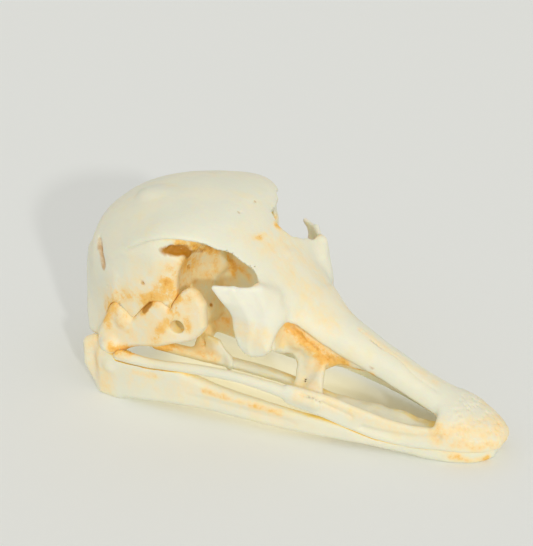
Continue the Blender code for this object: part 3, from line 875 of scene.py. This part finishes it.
# Pixels of the photograph on ragged holes and pits, each with a radius in millimetres
RAGGED_HOLES = [
    (168, 250, 1.0), (171, 248, 1.3), (173, 252, 1.4), (177, 249, 1.5), (178, 253, 1.2),
    (182, 250, 1.5), (186, 252, 1.1), (189, 254, 1.0), (190, 249, 0.7), (194, 251, 0.6),
    (195, 247, 0.6), (199, 250, 0.7), (201, 247, 0.5), (204, 251, 0.6), (206, 248, 0.4),
    (165, 252, 0.6), (146, 310, 0.7), (149, 307, 0.8), (151, 304, 0.6), (142, 282, 0.5),
    (144, 284, 0.4), (189, 266, 0.8), (186, 267, 0.5), (211, 305, 0.6), (255, 202, 0.4),
    (107, 286, 0.4),
]
# Pixels along shallow grooves, with a radius in millimetres
GROOVES = [
    ([(300, 394), (325, 404), (352, 417)], 0.5),
    ([(362, 428), (385, 434), (415, 438), (438, 438)], 0.9),
    ([(360, 327), (382, 343), (400, 356), (420, 367), (445, 382)], 0.3),
]
# Pixels along the slit at the back of the braincase
SLIT = [(100, 238), (101, 246), (103, 256), (105, 266)]
SKULL_TOP = 86.0
BROW_PITS = 14
BEAK_PORES = 150
WEATHER_SEED = 7


def brow_pits(bone, s, rng):
    """Small pits in the porous bone along one brow."""
    for _ in range(BROW_PITS):
        place = at(rng.uniform(110, 122), s * rng.uniform(28, 33), rng.uniform(69.5, 73.5))
        ball(bone, place, (0.8, 1.6, 0.7), 0.3, cut=True, rag=0.4)


def beak_pores(bone, rng):
    """Pores in the tip of the beak, closest together at its front."""
    for _ in range(BEAK_PORES):
        behind = 1.5 + 18 * rng.random() ** 1.6
        place = skin_point(bone, behind, rng.uniform(-13, 13))
        if place is not None:
            size = rng.uniform(0.3, 0.55)
            ball(bone, place + (0, 0, 0.15), (size * 1.5, size, size), 0.3, cut=True)


def weathering(bone):
    """Ragged holes and pits at the brow, a slit at the back, grooves, a low boss and pores."""
    rng = np.random.default_rng(WEATHER_SEED)
    holes = [(seen([bone], px, py), radius) for px, py, radius in RAGGED_HOLES]
    slit = [seen([bone], px, py, 0.4) for px, py in SLIT]
    for s in (RIGHT, LEFT):
        mirror = np.array((1, -s, 1))
        for centre, radius in holes:
            if centre is not None:
                reach = (radius * 1.25, radius * 1.8, radius)
                ball(bone, centre * mirror, reach, 0.3, cut=True, rag=0.6 * min(radius, 1))
        brow_pits(bone, s, rng)
        path = [point * mirror for point in slit]
        chain(bone, path, [0.5, 1.2, 1.3, 0.5], blend=1.4, cut=True, rag=0.5)
        for pixels, radius in GROOVES:
            path = [seen([bone], px, py) for px, py in pixels]
            path = [point * mirror for point in path if point is not None]
            chain(bone, path, [radius] * len(path), blend=1.2 * radius, cut=True, step=1.5)
    ball(bone, at(144.0, -11.0, 79.6), (6.5, 5.0, 2.8), 3.5)
    beak_pores(bone, rng)


# One side of the jaw: behind, side, top, bottom and half its thickness
RAMUS = [
    (5.6, 1.8, 4.8, 0.2, 2.4),
    (9.0, 6.0, 5.2, -0.8, 2.8),
    (15.0, 9.8, 5.4, -0.8, 3.0),
    (24.0, 13.4, 5.4, 0.2, 2.8),
    (36.0, 16.2, 6.2, 1.4, 2.6),
    (52.0, 20.6, 8.6, 2.8, 2.4),
    (70.0, 24.8, 10.8, 3.2, 2.4),
    (90.0, 28.0, 13.0, 4.2, 2.5),
    (110.0, 30.8, 16.2, 5.2, 2.6),
    (118.0, 31.8, 18.4, 4.9, 2.7),
    (124.0, 32.4, 20.4, 4.6, 2.9),
    (134.0, 33.0, 20.0, 3.6, 3.1),
    (145.0, 33.0, 19.4, 1.6, 3.6),
    (157.0, 31.4, 16.0, -0.8, 4.4),
]
# A sheet's edges are round, so its middle ends this share of half its thickness inside the
# outline, and it is a little thinner than the table says.
RAMUS_INSET, RAMUS_FULLNESS = 0.7, 0.95
# The sections where both sides of the jaw meet, as for solid
CHIN = [
    (5.2, 3.0, 4.6, 2.0, 0.0),
    (9.4, 7.6, 5.0, 2.0, -0.8),
    (16.0, 10.3, 5.0, 2.0, -0.8),
    (26.0, 12.5, 4.8, 2.4, 0.4),
]


def mandible():
    """The lower jaw: a side, a heel and its spurs on the left and right, joined at the chin."""
    bone = Bone((-80, -39, -2), (93, 39, 23), MANDIBLE_VOXEL, seed=23)
    table = section_table(RAMUS)
    for s in (RIGHT, LEFT):
        ramus = walls_on(s, [
            ((behind, side, top - half * RAMUS_INSET), (behind, side, bottom + half * RAMUS_INSET))
            for behind, side, top, bottom, half in table
        ])
        sheet(bone, ramus, 2 * table[:, 4] * RAMUS_FULLNESS, blend=1.5)
        heel = walls_on(s, [
            ((150.0, 32.5, 15.0), (150.0, 33.0, 1.0)),
            ((157.0, 30.5, 17.5), (157.0, 32.5, -0.8)),
            ((163.0, 29.0, 20.5), (162.0, 31.5, 4.5)),
            ((167.0, 29.5, 18.5), (166.5, 30.5, 10.0)),
        ])
        sheet(bone, heel, 5.0, blend=2.5)
        socket = points_on(s, [(158.0, 30.0, 16.0), (149.0, 31.0, 15.2)])
        chain(bone, socket, [4.4, 4.4], 2.0)
        inner_spur = points_on(s, [(156.0, 29.0, 13.5), (157.5, 21.5, 15.0)])
        chain(bone, inner_spur, [4.0, 2.4], 2.0)
        ball(bone, at(153.0, s * 35.0, 13.8), (3.0, 1.8, 2.4), 1.5)
        gutter = points_on(s, [
            (118.0, 35.2, 10.5), (104.0, 33.2, 9.6), (88.0, 30.6, 8.4), (74.0, 28.2, 7.4),
        ])
        chain(bone, gutter, [0.6, 1.0, 1.0, 0.5], blend=1.0, cut=True)
    solid(bone, CHIN, 2.6, 1.5)
    return bone


# The quadrate's outline from the side: behind, side, top and bottom
QUADRATE = [
    (158.0, 31.0, 27.0, 20.5),
    (154.5, 31.0, 34.0, 19.0),
    (150.5, 31.0, 41.0, 20.0),
    (147.0, 31.0, 38.5, 22.5),
    (143.0, 31.0, 36.0, 24.5),
    (138.0, 31.0, 40.0, 26.0),
    (134.0, 31.0, 44.5, 27.0),
    (130.0, 30.8, 46.5, 28.5),
    (126.0, 30.0, 43.0, 30.0),
    (122.0, 29.0, 49.0, 31.0),
    (118.0, 28.0, 53.0, 33.0),
    (114.5, 27.5, 49.0, 37.5),
]


def quadrate(s):
    """The bone between the braincase and the jaw on one side."""
    side = sorted((s * 18.0, s * 40.0))
    bone = Bone((-71, side[0], 16), (-21, side[1], 56), QUADRATE_VOXEL, seed=31 + s)
    plate = walls_on(s, [
        ((behind, out, top - 1.5), (behind, out, bottom + 1.5))
        for behind, out, top, bottom in QUADRATE
    ])
    sheet(bone, plate, 5.0, blend=1.5, step=2.0)
    ball(bone, at(153.5, s * 31.0, 22.6), (5.4, 6.4, 4.4), 2.0)
    head = points_on(s, [(147.0, 30.5, 35.0), (146.0, 22.0, 44.0)])
    chain(bone, head, [4.4, 3.6], 2.0)
    window = points_on(s, [(123.5, 15.0, 37.5), (122.5, 45.0, 37.5)])
    chain(bone, window, [2.8, 2.8], 0.8, cut=True)
    return bone


def keep_clear(bone, other, gap):
    """Takes from one bone what comes within a gap of another."""
    x, y, z = np.meshgrid(*bone.axes, indexing="ij")
    points = np.stack([x.ravel(), y.ravel(), z.ravel()], -1)
    inside = other.around(points)
    near = np.full(len(points), FAR, np.float32)
    near[inside] = other.sample(points[inside])
    near = near.reshape(bone.values.shape)
    bone.values = np.maximum(bone.values, gap - near)


def roughen(bone, coarse=0.22, coarse_size=11.0, fine=0.10, fine_size=3.5):
    """Low relief all over, as on any grown surface."""
    bone.values += coarse * bone.noise(coarse_size) + fine * bone.noise(fine_size)


def flatten_foot(bone):
    """Cuts the bone off at the level of the ground."""
    bone.values = np.maximum(bone.values, -bone.axes[2][None, None, :])


# Stains, and painted shade and light laid on the bone the same way. Each is a path of pixels
# of the photograph, on the bone that the camera sees there, with a radius in millimetres and
# a strength. The bird's left side gets the same marks, a little weaker.

LEFT_SIDE_SHARE = 0.85
# Wide faint washes of grease, then the strong ones along edges and seams. Some rows paint shade
# instead, and some are partly grease and partly painted shade, as said above them.
GREASE_AND_SHADE = [
    ([(186, 262), (162, 283), (135, 296), (118, 306)], 8.0, 0.26),
    ([(112, 326), (140, 335), (170, 335), (195, 312)], 7.0, 0.22),
    ([(190, 256), (218, 264)], 5.0, 0.26),
    # painted shade on the wall between the eyes, in the shadow of the lacrimal
    ([(205, 285), (212, 325)], 9.0, 0.30),
    ([(245, 332), (262, 340)], 3.5, 0.24),
    ([(130, 380), (170, 388), (230, 400), (290, 418)], 4.0, 0.16),
    ([(448, 438), (470, 434), (495, 436)], 4.5, 0.32),
    # painted warm shade on the inside of the nostril
    ([(282, 330), (300, 346), (330, 360), (360, 370)], 3.6, 0.42),
    ([(300, 386), (314, 389)], 3.0, 0.2),
    # painted shade along the groove and the channel round the front of the nostril
    ([(300, 396), (330, 403), (360, 414), (400, 428), (440, 434)], 2.6, 0.26),
    ([(272, 245), (292, 280), (318, 318)], 6.0, 0.10),
    # painted shade on the back corner of the jaw
    ([(95, 345), (97, 365), (105, 380)], 4.0, 0.34),
    ([(276, 250), (300, 288), (330, 325)], 3.5, 0.14),
    ([(240, 232), (262, 250)], 3.0, 0.12),
    ([(362, 330), (400, 357), (440, 382)], 1.4, 0.14),
    # the next rows put orange in the valleys round the lobes over the quadrate: partly grease,
    # partly painted shade
    ([(190, 262), (181, 267), (172, 275), (165, 285), (158, 295), (150, 302)], 2.0, 0.62),
    ([(150, 302), (138, 297), (126, 295), (115, 299), (108, 308), (106, 322)], 1.7, 0.6),
    ([(166, 282), (172, 292), (176, 302), (174, 313)], 1.5, 0.75),
    ([(176, 300), (186, 299)], 1.1, 0.5),
    ([(152, 300), (146, 308), (143, 312)], 1.2, 0.8),
    ([(187, 320), (188, 329)], 1.1, 0.7),
    ([(168, 324), (161, 331), (156, 338), (152, 345)], 1.4, 0.5),
    # painted warm shade on the underside below the ear wing
    ([(114, 349), (130, 352), (150, 350), (166, 347)], 1.6, 0.95),
    # partly grease, partly painted shade under the cheek bar
    ([(166, 347), (190, 352), (215, 358)], 1.6, 0.45),
    ([(190, 346), (203, 344)], 1.3, 0.5),
    # grease in the porous rim of the brow, with painted shade along its edge
    ([(180, 244), (190, 246), (203, 248), (214, 252)], 1.3, 0.9),
    # these two paint the shade in the front corner of the orbit
    ([(227, 257), (231, 264), (234, 276)], 1.1, 0.9),
    ([(240, 268), (250, 278), (256, 284)], 1.1, 0.5),
    # these two paint the shade along the edge of the roof over the nostril
    ([(289, 326), (300, 336), (310, 346), (325, 355), (342, 363)], 1.5, 0.7),
    ([(342, 363), (358, 369), (372, 374)], 0.9, 0.8),
    ([(204, 391), (222, 396), (240, 402), (262, 408), (280, 413)], 0.8, 0.42),
    ([(135, 372), (155, 376)], 0.8, 0.3),
    ([(452, 457), (470, 460), (488, 458)], 0.9, 0.6),
    ([(450, 443), (475, 447), (496, 444)], 1.0, 0.25),
    ([(277, 216), (277, 226)], 1.0, 0.7),
]
# Brown crust in cracks, in the slit and round holes; one row paints the shade along the edge of the
# roof over the nostril
CRUST_AND_SHADE = [
    ([(166, 250), (178, 251), (188, 253)], 1.6, 0.9),
    ([(194, 251), (204, 250)], 0.8, 0.5),
    ([(151, 304), (147, 308), (144, 311)], 0.8, 0.9),
    # painted shade along the edge of the roof over the nostril
    ([(292, 326), (304, 337), (318, 349), (336, 360)], 0.6, 0.35),
    ([(100, 240), (103, 254), (105, 266)], 1.3, 0.5),
    ([(143, 283)], 0.7, 0.5),
    ([(188, 266)], 0.9, 0.5),
    ([(211, 305)], 0.7, 0.7),
    ([(372, 367)], 0.8, 0.5),
    ([(255, 202)], 0.7, 0.4),
]
# Pale patches: bleached bone, and painted light where the sun falls on raised or edge-on bone, as
# said above those rows
BLEACH_AND_HIGHLIGHT = [
    # these two paint light on the tops of the two lobes over the quadrate, partly bleached bone
    ([(118, 308), (118, 326)], 3.0, 0.5),
    ([(162, 306), (162, 322)], 3.0, 0.5),
    # painted highlight on the sunlit front edge behind the eye
    ([(186, 290), (192, 308)], 3.2, 0.6),
    ([(178, 340), (192, 338)], 2.5, 0.6),
    ([(222, 290), (245, 300), (258, 318)], 6.0, 0.55),
    # painted highlight on the jagged plate under the eye
    ([(210, 345), (225, 352)], 3.0, 0.6),
    ([(302, 375), (315, 385)], 3.5, 0.4),
]


def stain_and_painted_light_paths(bones, stains_and_painted_light):
    """The path in space of each mark, with its radius and strength, on both sides; the marks are
    discolouring, painted shade and painted light.
    """
    paths = []
    for pixels, radius, strength in stains_and_painted_light:
        path = [seen(bones, px, py) for px, py in pixels]
        path = np.array([point for point in path if point is not None])
        if len(path):
            paths.append((path, radius, strength))
            paths.append((path * (1, -1, 1), radius, strength * LEFT_SIDE_SHARE))
    return paths


def path_distance(points, path):
    """Distance from points to the nearest place on a path."""
    best = np.linalg.norm(points - path[0], axis=1)
    for first, second in zip(path, path[1:]):
        run = second - first
        t = np.clip((points - first) @ run / max(run @ run, 1e-9), 0, 1)
        best = np.minimum(best, np.linalg.norm(points - first - t[:, None] * run, axis=1))
    return best


def stain_and_painted_light_cover(points, paths, unevenness):
    """How strongly the marks, discolouring and painted shade and light, cover each point, from 0 to
    1.
    """
    bare = np.ones(len(points))
    for path, radius, strength in paths:
        reach = 3.4 * radius
        low, high = path.min(0) - reach, path.max(0) + reach
        near = np.nonzero(((points > low) & (points < high)).all(1))[0]
        away = path_distance(points[near], path) / radius + unevenness[near]
        cover = np.clip(1.15 - 0.45 * away, 0, 1)
        bare[near] *= 1 - strength * cover * cover * (3 - 2 * cover)
    return 1 - bare


def set_attribute(mesh, name, values):
    attribute = mesh.attributes.new(name, "FLOAT", "POINT")
    attribute.data.foreach_set("value", np.asarray(values, np.float32))


def mark_surface(obj, bone, bones, stains_and_painted_light):
    """Writes how strongly each mark covers each vertex, and the openness of each vertex, for the
    material to read; the marks include painted shade and light, and the material paints warm shade
    where the openness is low.
    """
    mesh = obj.data
    count = len(mesh.vertices)
    points, normals = np.zeros(count * 3), np.zeros(count * 3)
    mesh.vertices.foreach_get("co", points)
    mesh.vertices.foreach_get("normal", normals)
    points, normals = points.reshape(-1, 3) / MM, normals.reshape(-1, 3)
    unevenness = bone.sample(points, bone.noise(4.0)) * 0.35
    unevenness += bone.sample(points, bone.noise(2.0)) * 0.25
    for name, paths in stains_and_painted_light.items():
        set_attribute(mesh, name, stain_and_painted_light_cover(points, paths, unevenness))
    # hollow: how shut in each vertex is, which the material turns into painted warm shade
    set_attribute(mesh, "hollow", 1 - openness(bones, points, normals))


class Nodes:
    """Short calls that add nodes to a material and join them."""

    def __init__(self, material):
        material.use_nodes = True
        self.tree = material.node_tree
        self.shader = self.tree.nodes["Principled BSDF"]

    def put(self, value, socket):
        if hasattr(value, "is_output"):
            self.tree.links.new(value, socket)
        else:
            socket.default_value = value

    def add(self, kind, output, inputs, **settings):
        """One output of a new node whose settings and inputs are given."""
        node = self.tree.nodes.new("ShaderNode" + kind)
        for name, value in settings.items():
            setattr(node, name, value)
        for socket, value in inputs.items():
            self.put(value, node.inputs[socket])
        return node.outputs[output]

    def attribute(self, name):
        return self.add("Attribute", "Fac", {}, attribute_name=name)

    def place(self, stretch=(1.0, 1.0, 1.0)):
        """The place on the object in millimetres, squeezed along its axes."""
        on_object = self.add("TexCoord", "Object", {})
        scale = [s / MM for s in stretch]
        return self.add("Mapping", "Vector", {"Vector": on_object, "Scale": scale})

    def noise(self, size, detail=3.0, roughness=0.5, stretch=(1.0, 1.0, 1.0)):
        """Noise from 0 to 1 with lumps about size millimetres across."""
        return self.add("TexNoise", "Fac", {
            "Vector": self.place(stretch),
            "Scale": 1.0 / size,
            "Detail": detail,
            "Roughness": roughness,
        })

    def pores(self, size):
        """Distance to the nearest of many scattered points, about size millimetres apart."""
        return self.add("TexVoronoi", "Distance", {"Vector": self.place(), "Scale": 1.0 / size})

    def maths(self, operation, first, second):
        return self.add("Math", "Value", {0: first, 1: second}, operation=operation)

    def ranged(self, value, low, high, to_low=0.0, to_high=1.0):
        """A value smoothly stepped between two levels."""
        return self.add("MapRange", "Result", {
            "Value": value,
            "From Min": low,
            "From Max": high,
            "To Min": to_low,
            "To Max": to_high,
        }, interpolation_type="SMOOTHSTEP")

    def mix(self, factor, first, second):
        """One colour laid over another. 6 and 7 are the node's sockets for two colours."""
        return self.add("Mix", 2, {"Factor": factor, 6: first, 7: second}, data_type="RGBA")

    def bump(self, height, strength, depth, normal=None):
        """Relief of a depth in millimetres."""
        inputs = {"Strength": strength, "Distance": depth * MM, "Height": height}
        if normal is not None:
            inputs["Normal"] = normal
        return self.add("Bump", "Normal", inputs)


IVORY = (0.845, 0.825, 0.665, 1.0)
COOL_IVORY = (0.80, 0.81, 0.68, 1.0)
WARM_IVORY = (0.87, 0.80, 0.56, 1.0)
PAINTED_HOLLOW_SHADE = (0.95, 0.72, 0.22, 1.0)
BLEACHED_AND_LIT = (0.90, 0.89, 0.80, 1.0)
YELLOW_GREASE_AND_SHADE = (0.93, 0.76, 0.45, 1.0)
ORANGE_GREASE_AND_SHADE = (0.93, 0.55, 0.13, 1.0)
DEEP_GREASE_AND_SHADE = (0.78, 0.34, 0.03, 1.0)
BROWN_CRUST_AND_SHADE = (0.50, 0.22, 0.012, 1.0)


def bone_material(name, warmth):
    """Dry bone: mottled ivory with warm shade painted into its hollows, greasy, crusted and bleached
    patches with painted shade and highlights among them, pores and light streaks.
    """
    material = bpy.data.materials.new(name)
    n = Nodes(material)
    mottle = n.noise(17.0, 4.0, 0.55)
    grain = n.noise(2.2, 5.0, 0.6, (0.35, 1.0, 1.0))
    fine = n.noise(0.7, 3.0, 0.6)
    colour = n.mix(n.ranged(mottle, 0.38, 0.62), COOL_IVORY, IVORY)
    warm = n.ranged(n.noise(9.0, 4.0, 0.6), 0.52 - warmth, 0.78 - warmth, 0.0, 0.75)
    colour = n.mix(warm, colour, WARM_IVORY)
    # Painted warm shade: the more shut in a point is, the more it turns warm orange, standing in for
    # light bounced and let through in hollows
    hollow = n.maths("ADD", n.attribute("hollow"), n.maths("MULTIPLY", grain, 0.12))
    colour = n.mix(n.ranged(hollow, 0.32, 0.80, 0.0, 1.0), colour, PAINTED_HOLLOW_SHADE)
    # Pale: bleached bone, and painted highlights
    colour = n.mix(n.ranged(n.attribute("bleach_and_highlight"), 0.1, 0.9, 0.0, 0.85), colour, BLEACHED_AND_LIT)
    cloud = n.noise(5.0, 10.0, 0.74)
    streak = n.noise(2.6, 6.0, 0.7, (0.6, 1.0, 0.5))
    uneven = n.maths("ADD", n.maths("MULTIPLY", cloud, 3.2), n.maths("MULTIPLY", streak, 2.4))
    uneven = n.maths("MAXIMUM", n.maths("SUBTRACT", uneven, 1.85), 0.0)
    # Yellow to deep orange: grease, and painted shade where the table's rows say so
    grease_and_shade_amount = n.maths("MULTIPLY", n.attribute("grease_and_shade"), uneven)
    colour = n.mix(n.ranged(grease_and_shade_amount, 0.0, 0.42, 0.0, 0.95), colour, YELLOW_GREASE_AND_SHADE)
    colour = n.mix(n.ranged(grease_and_shade_amount, 0.30, 0.85, 0.0, 0.95), colour, ORANGE_GREASE_AND_SHADE)
    colour = n.mix(n.ranged(grease_and_shade_amount, 0.85, 1.40, 0.0, 0.75), colour, DEEP_GREASE_AND_SHADE)
    # Brown: crust in cracks and holes, and painted shade along the edge of the roof over the nostril
    brown = n.maths("SUBTRACT", n.maths("MULTIPLY", streak, 0.7), 0.35)
    brown = n.maths("ADD", n.attribute("crust_and_shade"), brown)
    brown = n.maths("MULTIPLY", brown, n.ranged(n.attribute("crust_and_shade"), 0.0, 0.25))
    colour = n.mix(n.ranged(brown, 0.15, 0.75), colour, BROWN_CRUST_AND_SHADE)
    speck = n.ranged(n.pores(3.4), 0.03, 0.10, 0.35, 0.0)
    colour = n.mix(n.maths("MULTIPLY", speck, n.ranged(grain, 0.45, 0.65)), colour, WARM_IVORY)
    n.put(colour, n.shader.inputs["Base Color"])
    n.put(n.ranged(grain, 0.3, 0.7, 0.42, 0.62), n.shader.inputs["Roughness"])
    n.shader.inputs["Subsurface Weight"].default_value = 0.22
    n.shader.inputs["Subsurface Radius"].default_value = (1.0, 0.62, 0.28)
    n.shader.inputs["Subsurface Scale"].default_value = 0.004
    relief = n.bump(grain, 0.35, 0.35)
    relief = n.bump(fine, 0.30, 0.12, relief)
    pits = n.maths("ADD", n.ranged(n.pores(2.1), 0.10, 0.30), n.ranged(grease_and_shade_amount, 0.2, 0.7, 1.0, 0.0))
    pits = n.maths("MINIMUM", pits, 1.0)
    relief = n.bump(n.ranged(n.pores(1.5), 0.08, 0.32), 0.12, 0.2, relief)
    relief = n.bump(pits, 0.5, 0.35, relief)
    n.put(relief, n.shader.inputs["Normal"])
    return material


def finished(bone, name, triangles, material, nodes, bones, stains_and_painted_light):
    """Meshes a bone, marks and colours its surface, and hides the parts of the model that it
    replaces.
    """
    vertices, quads = surface_net(bone)
    vertices, quads = largest_island(vertices, quads)
    vertices = relax(bone, vertices, quads)
    obj = thinned(mesh_from(name, vertices, quads), triangles)
    mark_surface(obj, bone, bones, stains_and_painted_light)
    obj.data.materials.clear()
    obj.data.materials.append(material)
    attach(obj, "root")
    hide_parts(*nodes)
    return obj


def make_skull():
    """The four bones, kept clear of each other, then their marks of discolouring and painted shade
    and light, materials and meshes.
    """
    skull = cranium()
    jaw = mandible()
    hinges = {s: quadrate(s) for s in (RIGHT, LEFT)}
    bones = [skull, jaw, *hinges.values()]
    for bone in bones:
        roughen(bone)
    keep_clear(jaw, skull, JAW_GAP)
    flatten_foot(jaw)
    for bone in hinges.values():
        keep_clear(skull, bone, QUADRATE_GAP)
        keep_clear(bone, jaw, QUADRATE_GAP)
    stains_and_painted_light = {
        "grease_and_shade": stain_and_painted_light_paths(bones, GREASE_AND_SHADE),
        "crust_and_shade": stain_and_painted_light_paths(bones, CRUST_AND_SHADE),
        "bleach_and_highlight": stain_and_painted_light_paths(bones, BLEACH_AND_HIGHLIGHT),
    }
    dry = bone_material("dry_bone", 0.0)
    greasy = bone_material("greasy_bone", 0.06)
    finished(skull, "cranium_bone", CRANIUM_TRIANGLES, dry, ["cranium"], bones, stains_and_painted_light)
    finished(jaw, "mandible_bone", MANDIBLE_TRIANGLES, dry, ["mandible"], bones,
             stains_and_painted_light)
    for s, word in ((RIGHT, "right"), (LEFT, "left")):
        node = "quadrate_" + word
        finished(hinges[s], node + "_bone", QUADRATE_TRIANGLES, greasy, [node],
                 bones, stains_and_painted_light)


# Floor, light and camera


def add_floor():
    bpy.ops.mesh.primitive_plane_add(size=FLOOR_SIZE, location=(0, 0, 0))
    floor = bpy.context.object
    floor.name = "floor"
    material = bpy.data.materials.new("pale_floor")
    material.use_nodes = True
    shader = material.node_tree.nodes["Principled BSDF"]
    shader.inputs["Base Color"].default_value = FLOOR_COLOUR
    shader.inputs["Roughness"].default_value = 0.9
    floor.data.materials.append(material)


def add_lamp(name, kind, energy, colour):
    data = bpy.data.lights.new(name, kind)
    data.energy = energy
    data.color = colour
    lamp = bpy.data.objects.new(name, data)
    bpy.context.scene.collection.objects.link(lamp)
    return lamp


def add_light():
    """White light all round, the sun, and two soft lights that throw no shadow."""
    world = bpy.data.worlds.new("soft_light")
    bpy.context.scene.world = world
    world.use_nodes = True
    background = world.node_tree.nodes["Background"]
    background.inputs["Color"].default_value = (1.0, 1.0, 1.0, 1.0)
    background.inputs["Strength"].default_value = AMBIENT_STRENGTH
    sun = add_lamp("sun", "SUN", SUN_STRENGTH, SUN_COLOUR)
    sun.data.angle = SUN_ANGLE
    to_light = Vector((
        math.sin(SUN_AZIMUTH) * math.cos(SUN_ELEVATION),
        -math.cos(SUN_AZIMUTH) * math.cos(SUN_ELEVATION),
        math.sin(SUN_ELEVATION),
    ))
    sun.rotation_euler = to_light.to_track_quat("Z", "Y").to_euler()
    fill = add_lamp("warm_fill", "SUN", FILL_STRENGTH, FILL_COLOUR)
    fill.rotation_euler = (FILL_TILT, 0.0, CAMERA_AZIMUTH)
    glow = add_lamp("glow_under_bone", "AREA", GLOW_POWER, GLOW_COLOUR)
    glow.data.shape = "RECTANGLE"
    glow.data.size, glow.data.size_y = GLOW_SIZE
    glow.location = GLOW_PLACE
    glow.visible_camera = False
    for lamp in (fill, glow):
        lamp.data.use_shadow = False
        lamp.data.specular_factor = 0.0
    bpy.context.scene.view_settings.view_transform = "Standard"


def add_camera():
    """The photograph's camera."""
    eye, right, up, back = camera_axes()
    data = bpy.data.cameras.new("camera")
    data.sensor_fit = "AUTO"
    data.sensor_width = SENSOR_MM
    data.lens = FOCAL_PIXELS * SENSOR_MM / max(PHOTO_WIDTH, PHOTO_HEIGHT)
    data.clip_start, data.clip_end = 0.01, 20.0
    camera = bpy.data.objects.new("camera", data)
    bpy.context.scene.collection.objects.link(camera)
    turn = Matrix((right, up, back)).transposed()
    camera.matrix_world = Matrix.Translation(Vector(eye * MM)) @ turn.to_4x4()
    bpy.context.scene.camera = camera


make_skull()
add_floor()
add_light()
add_camera()
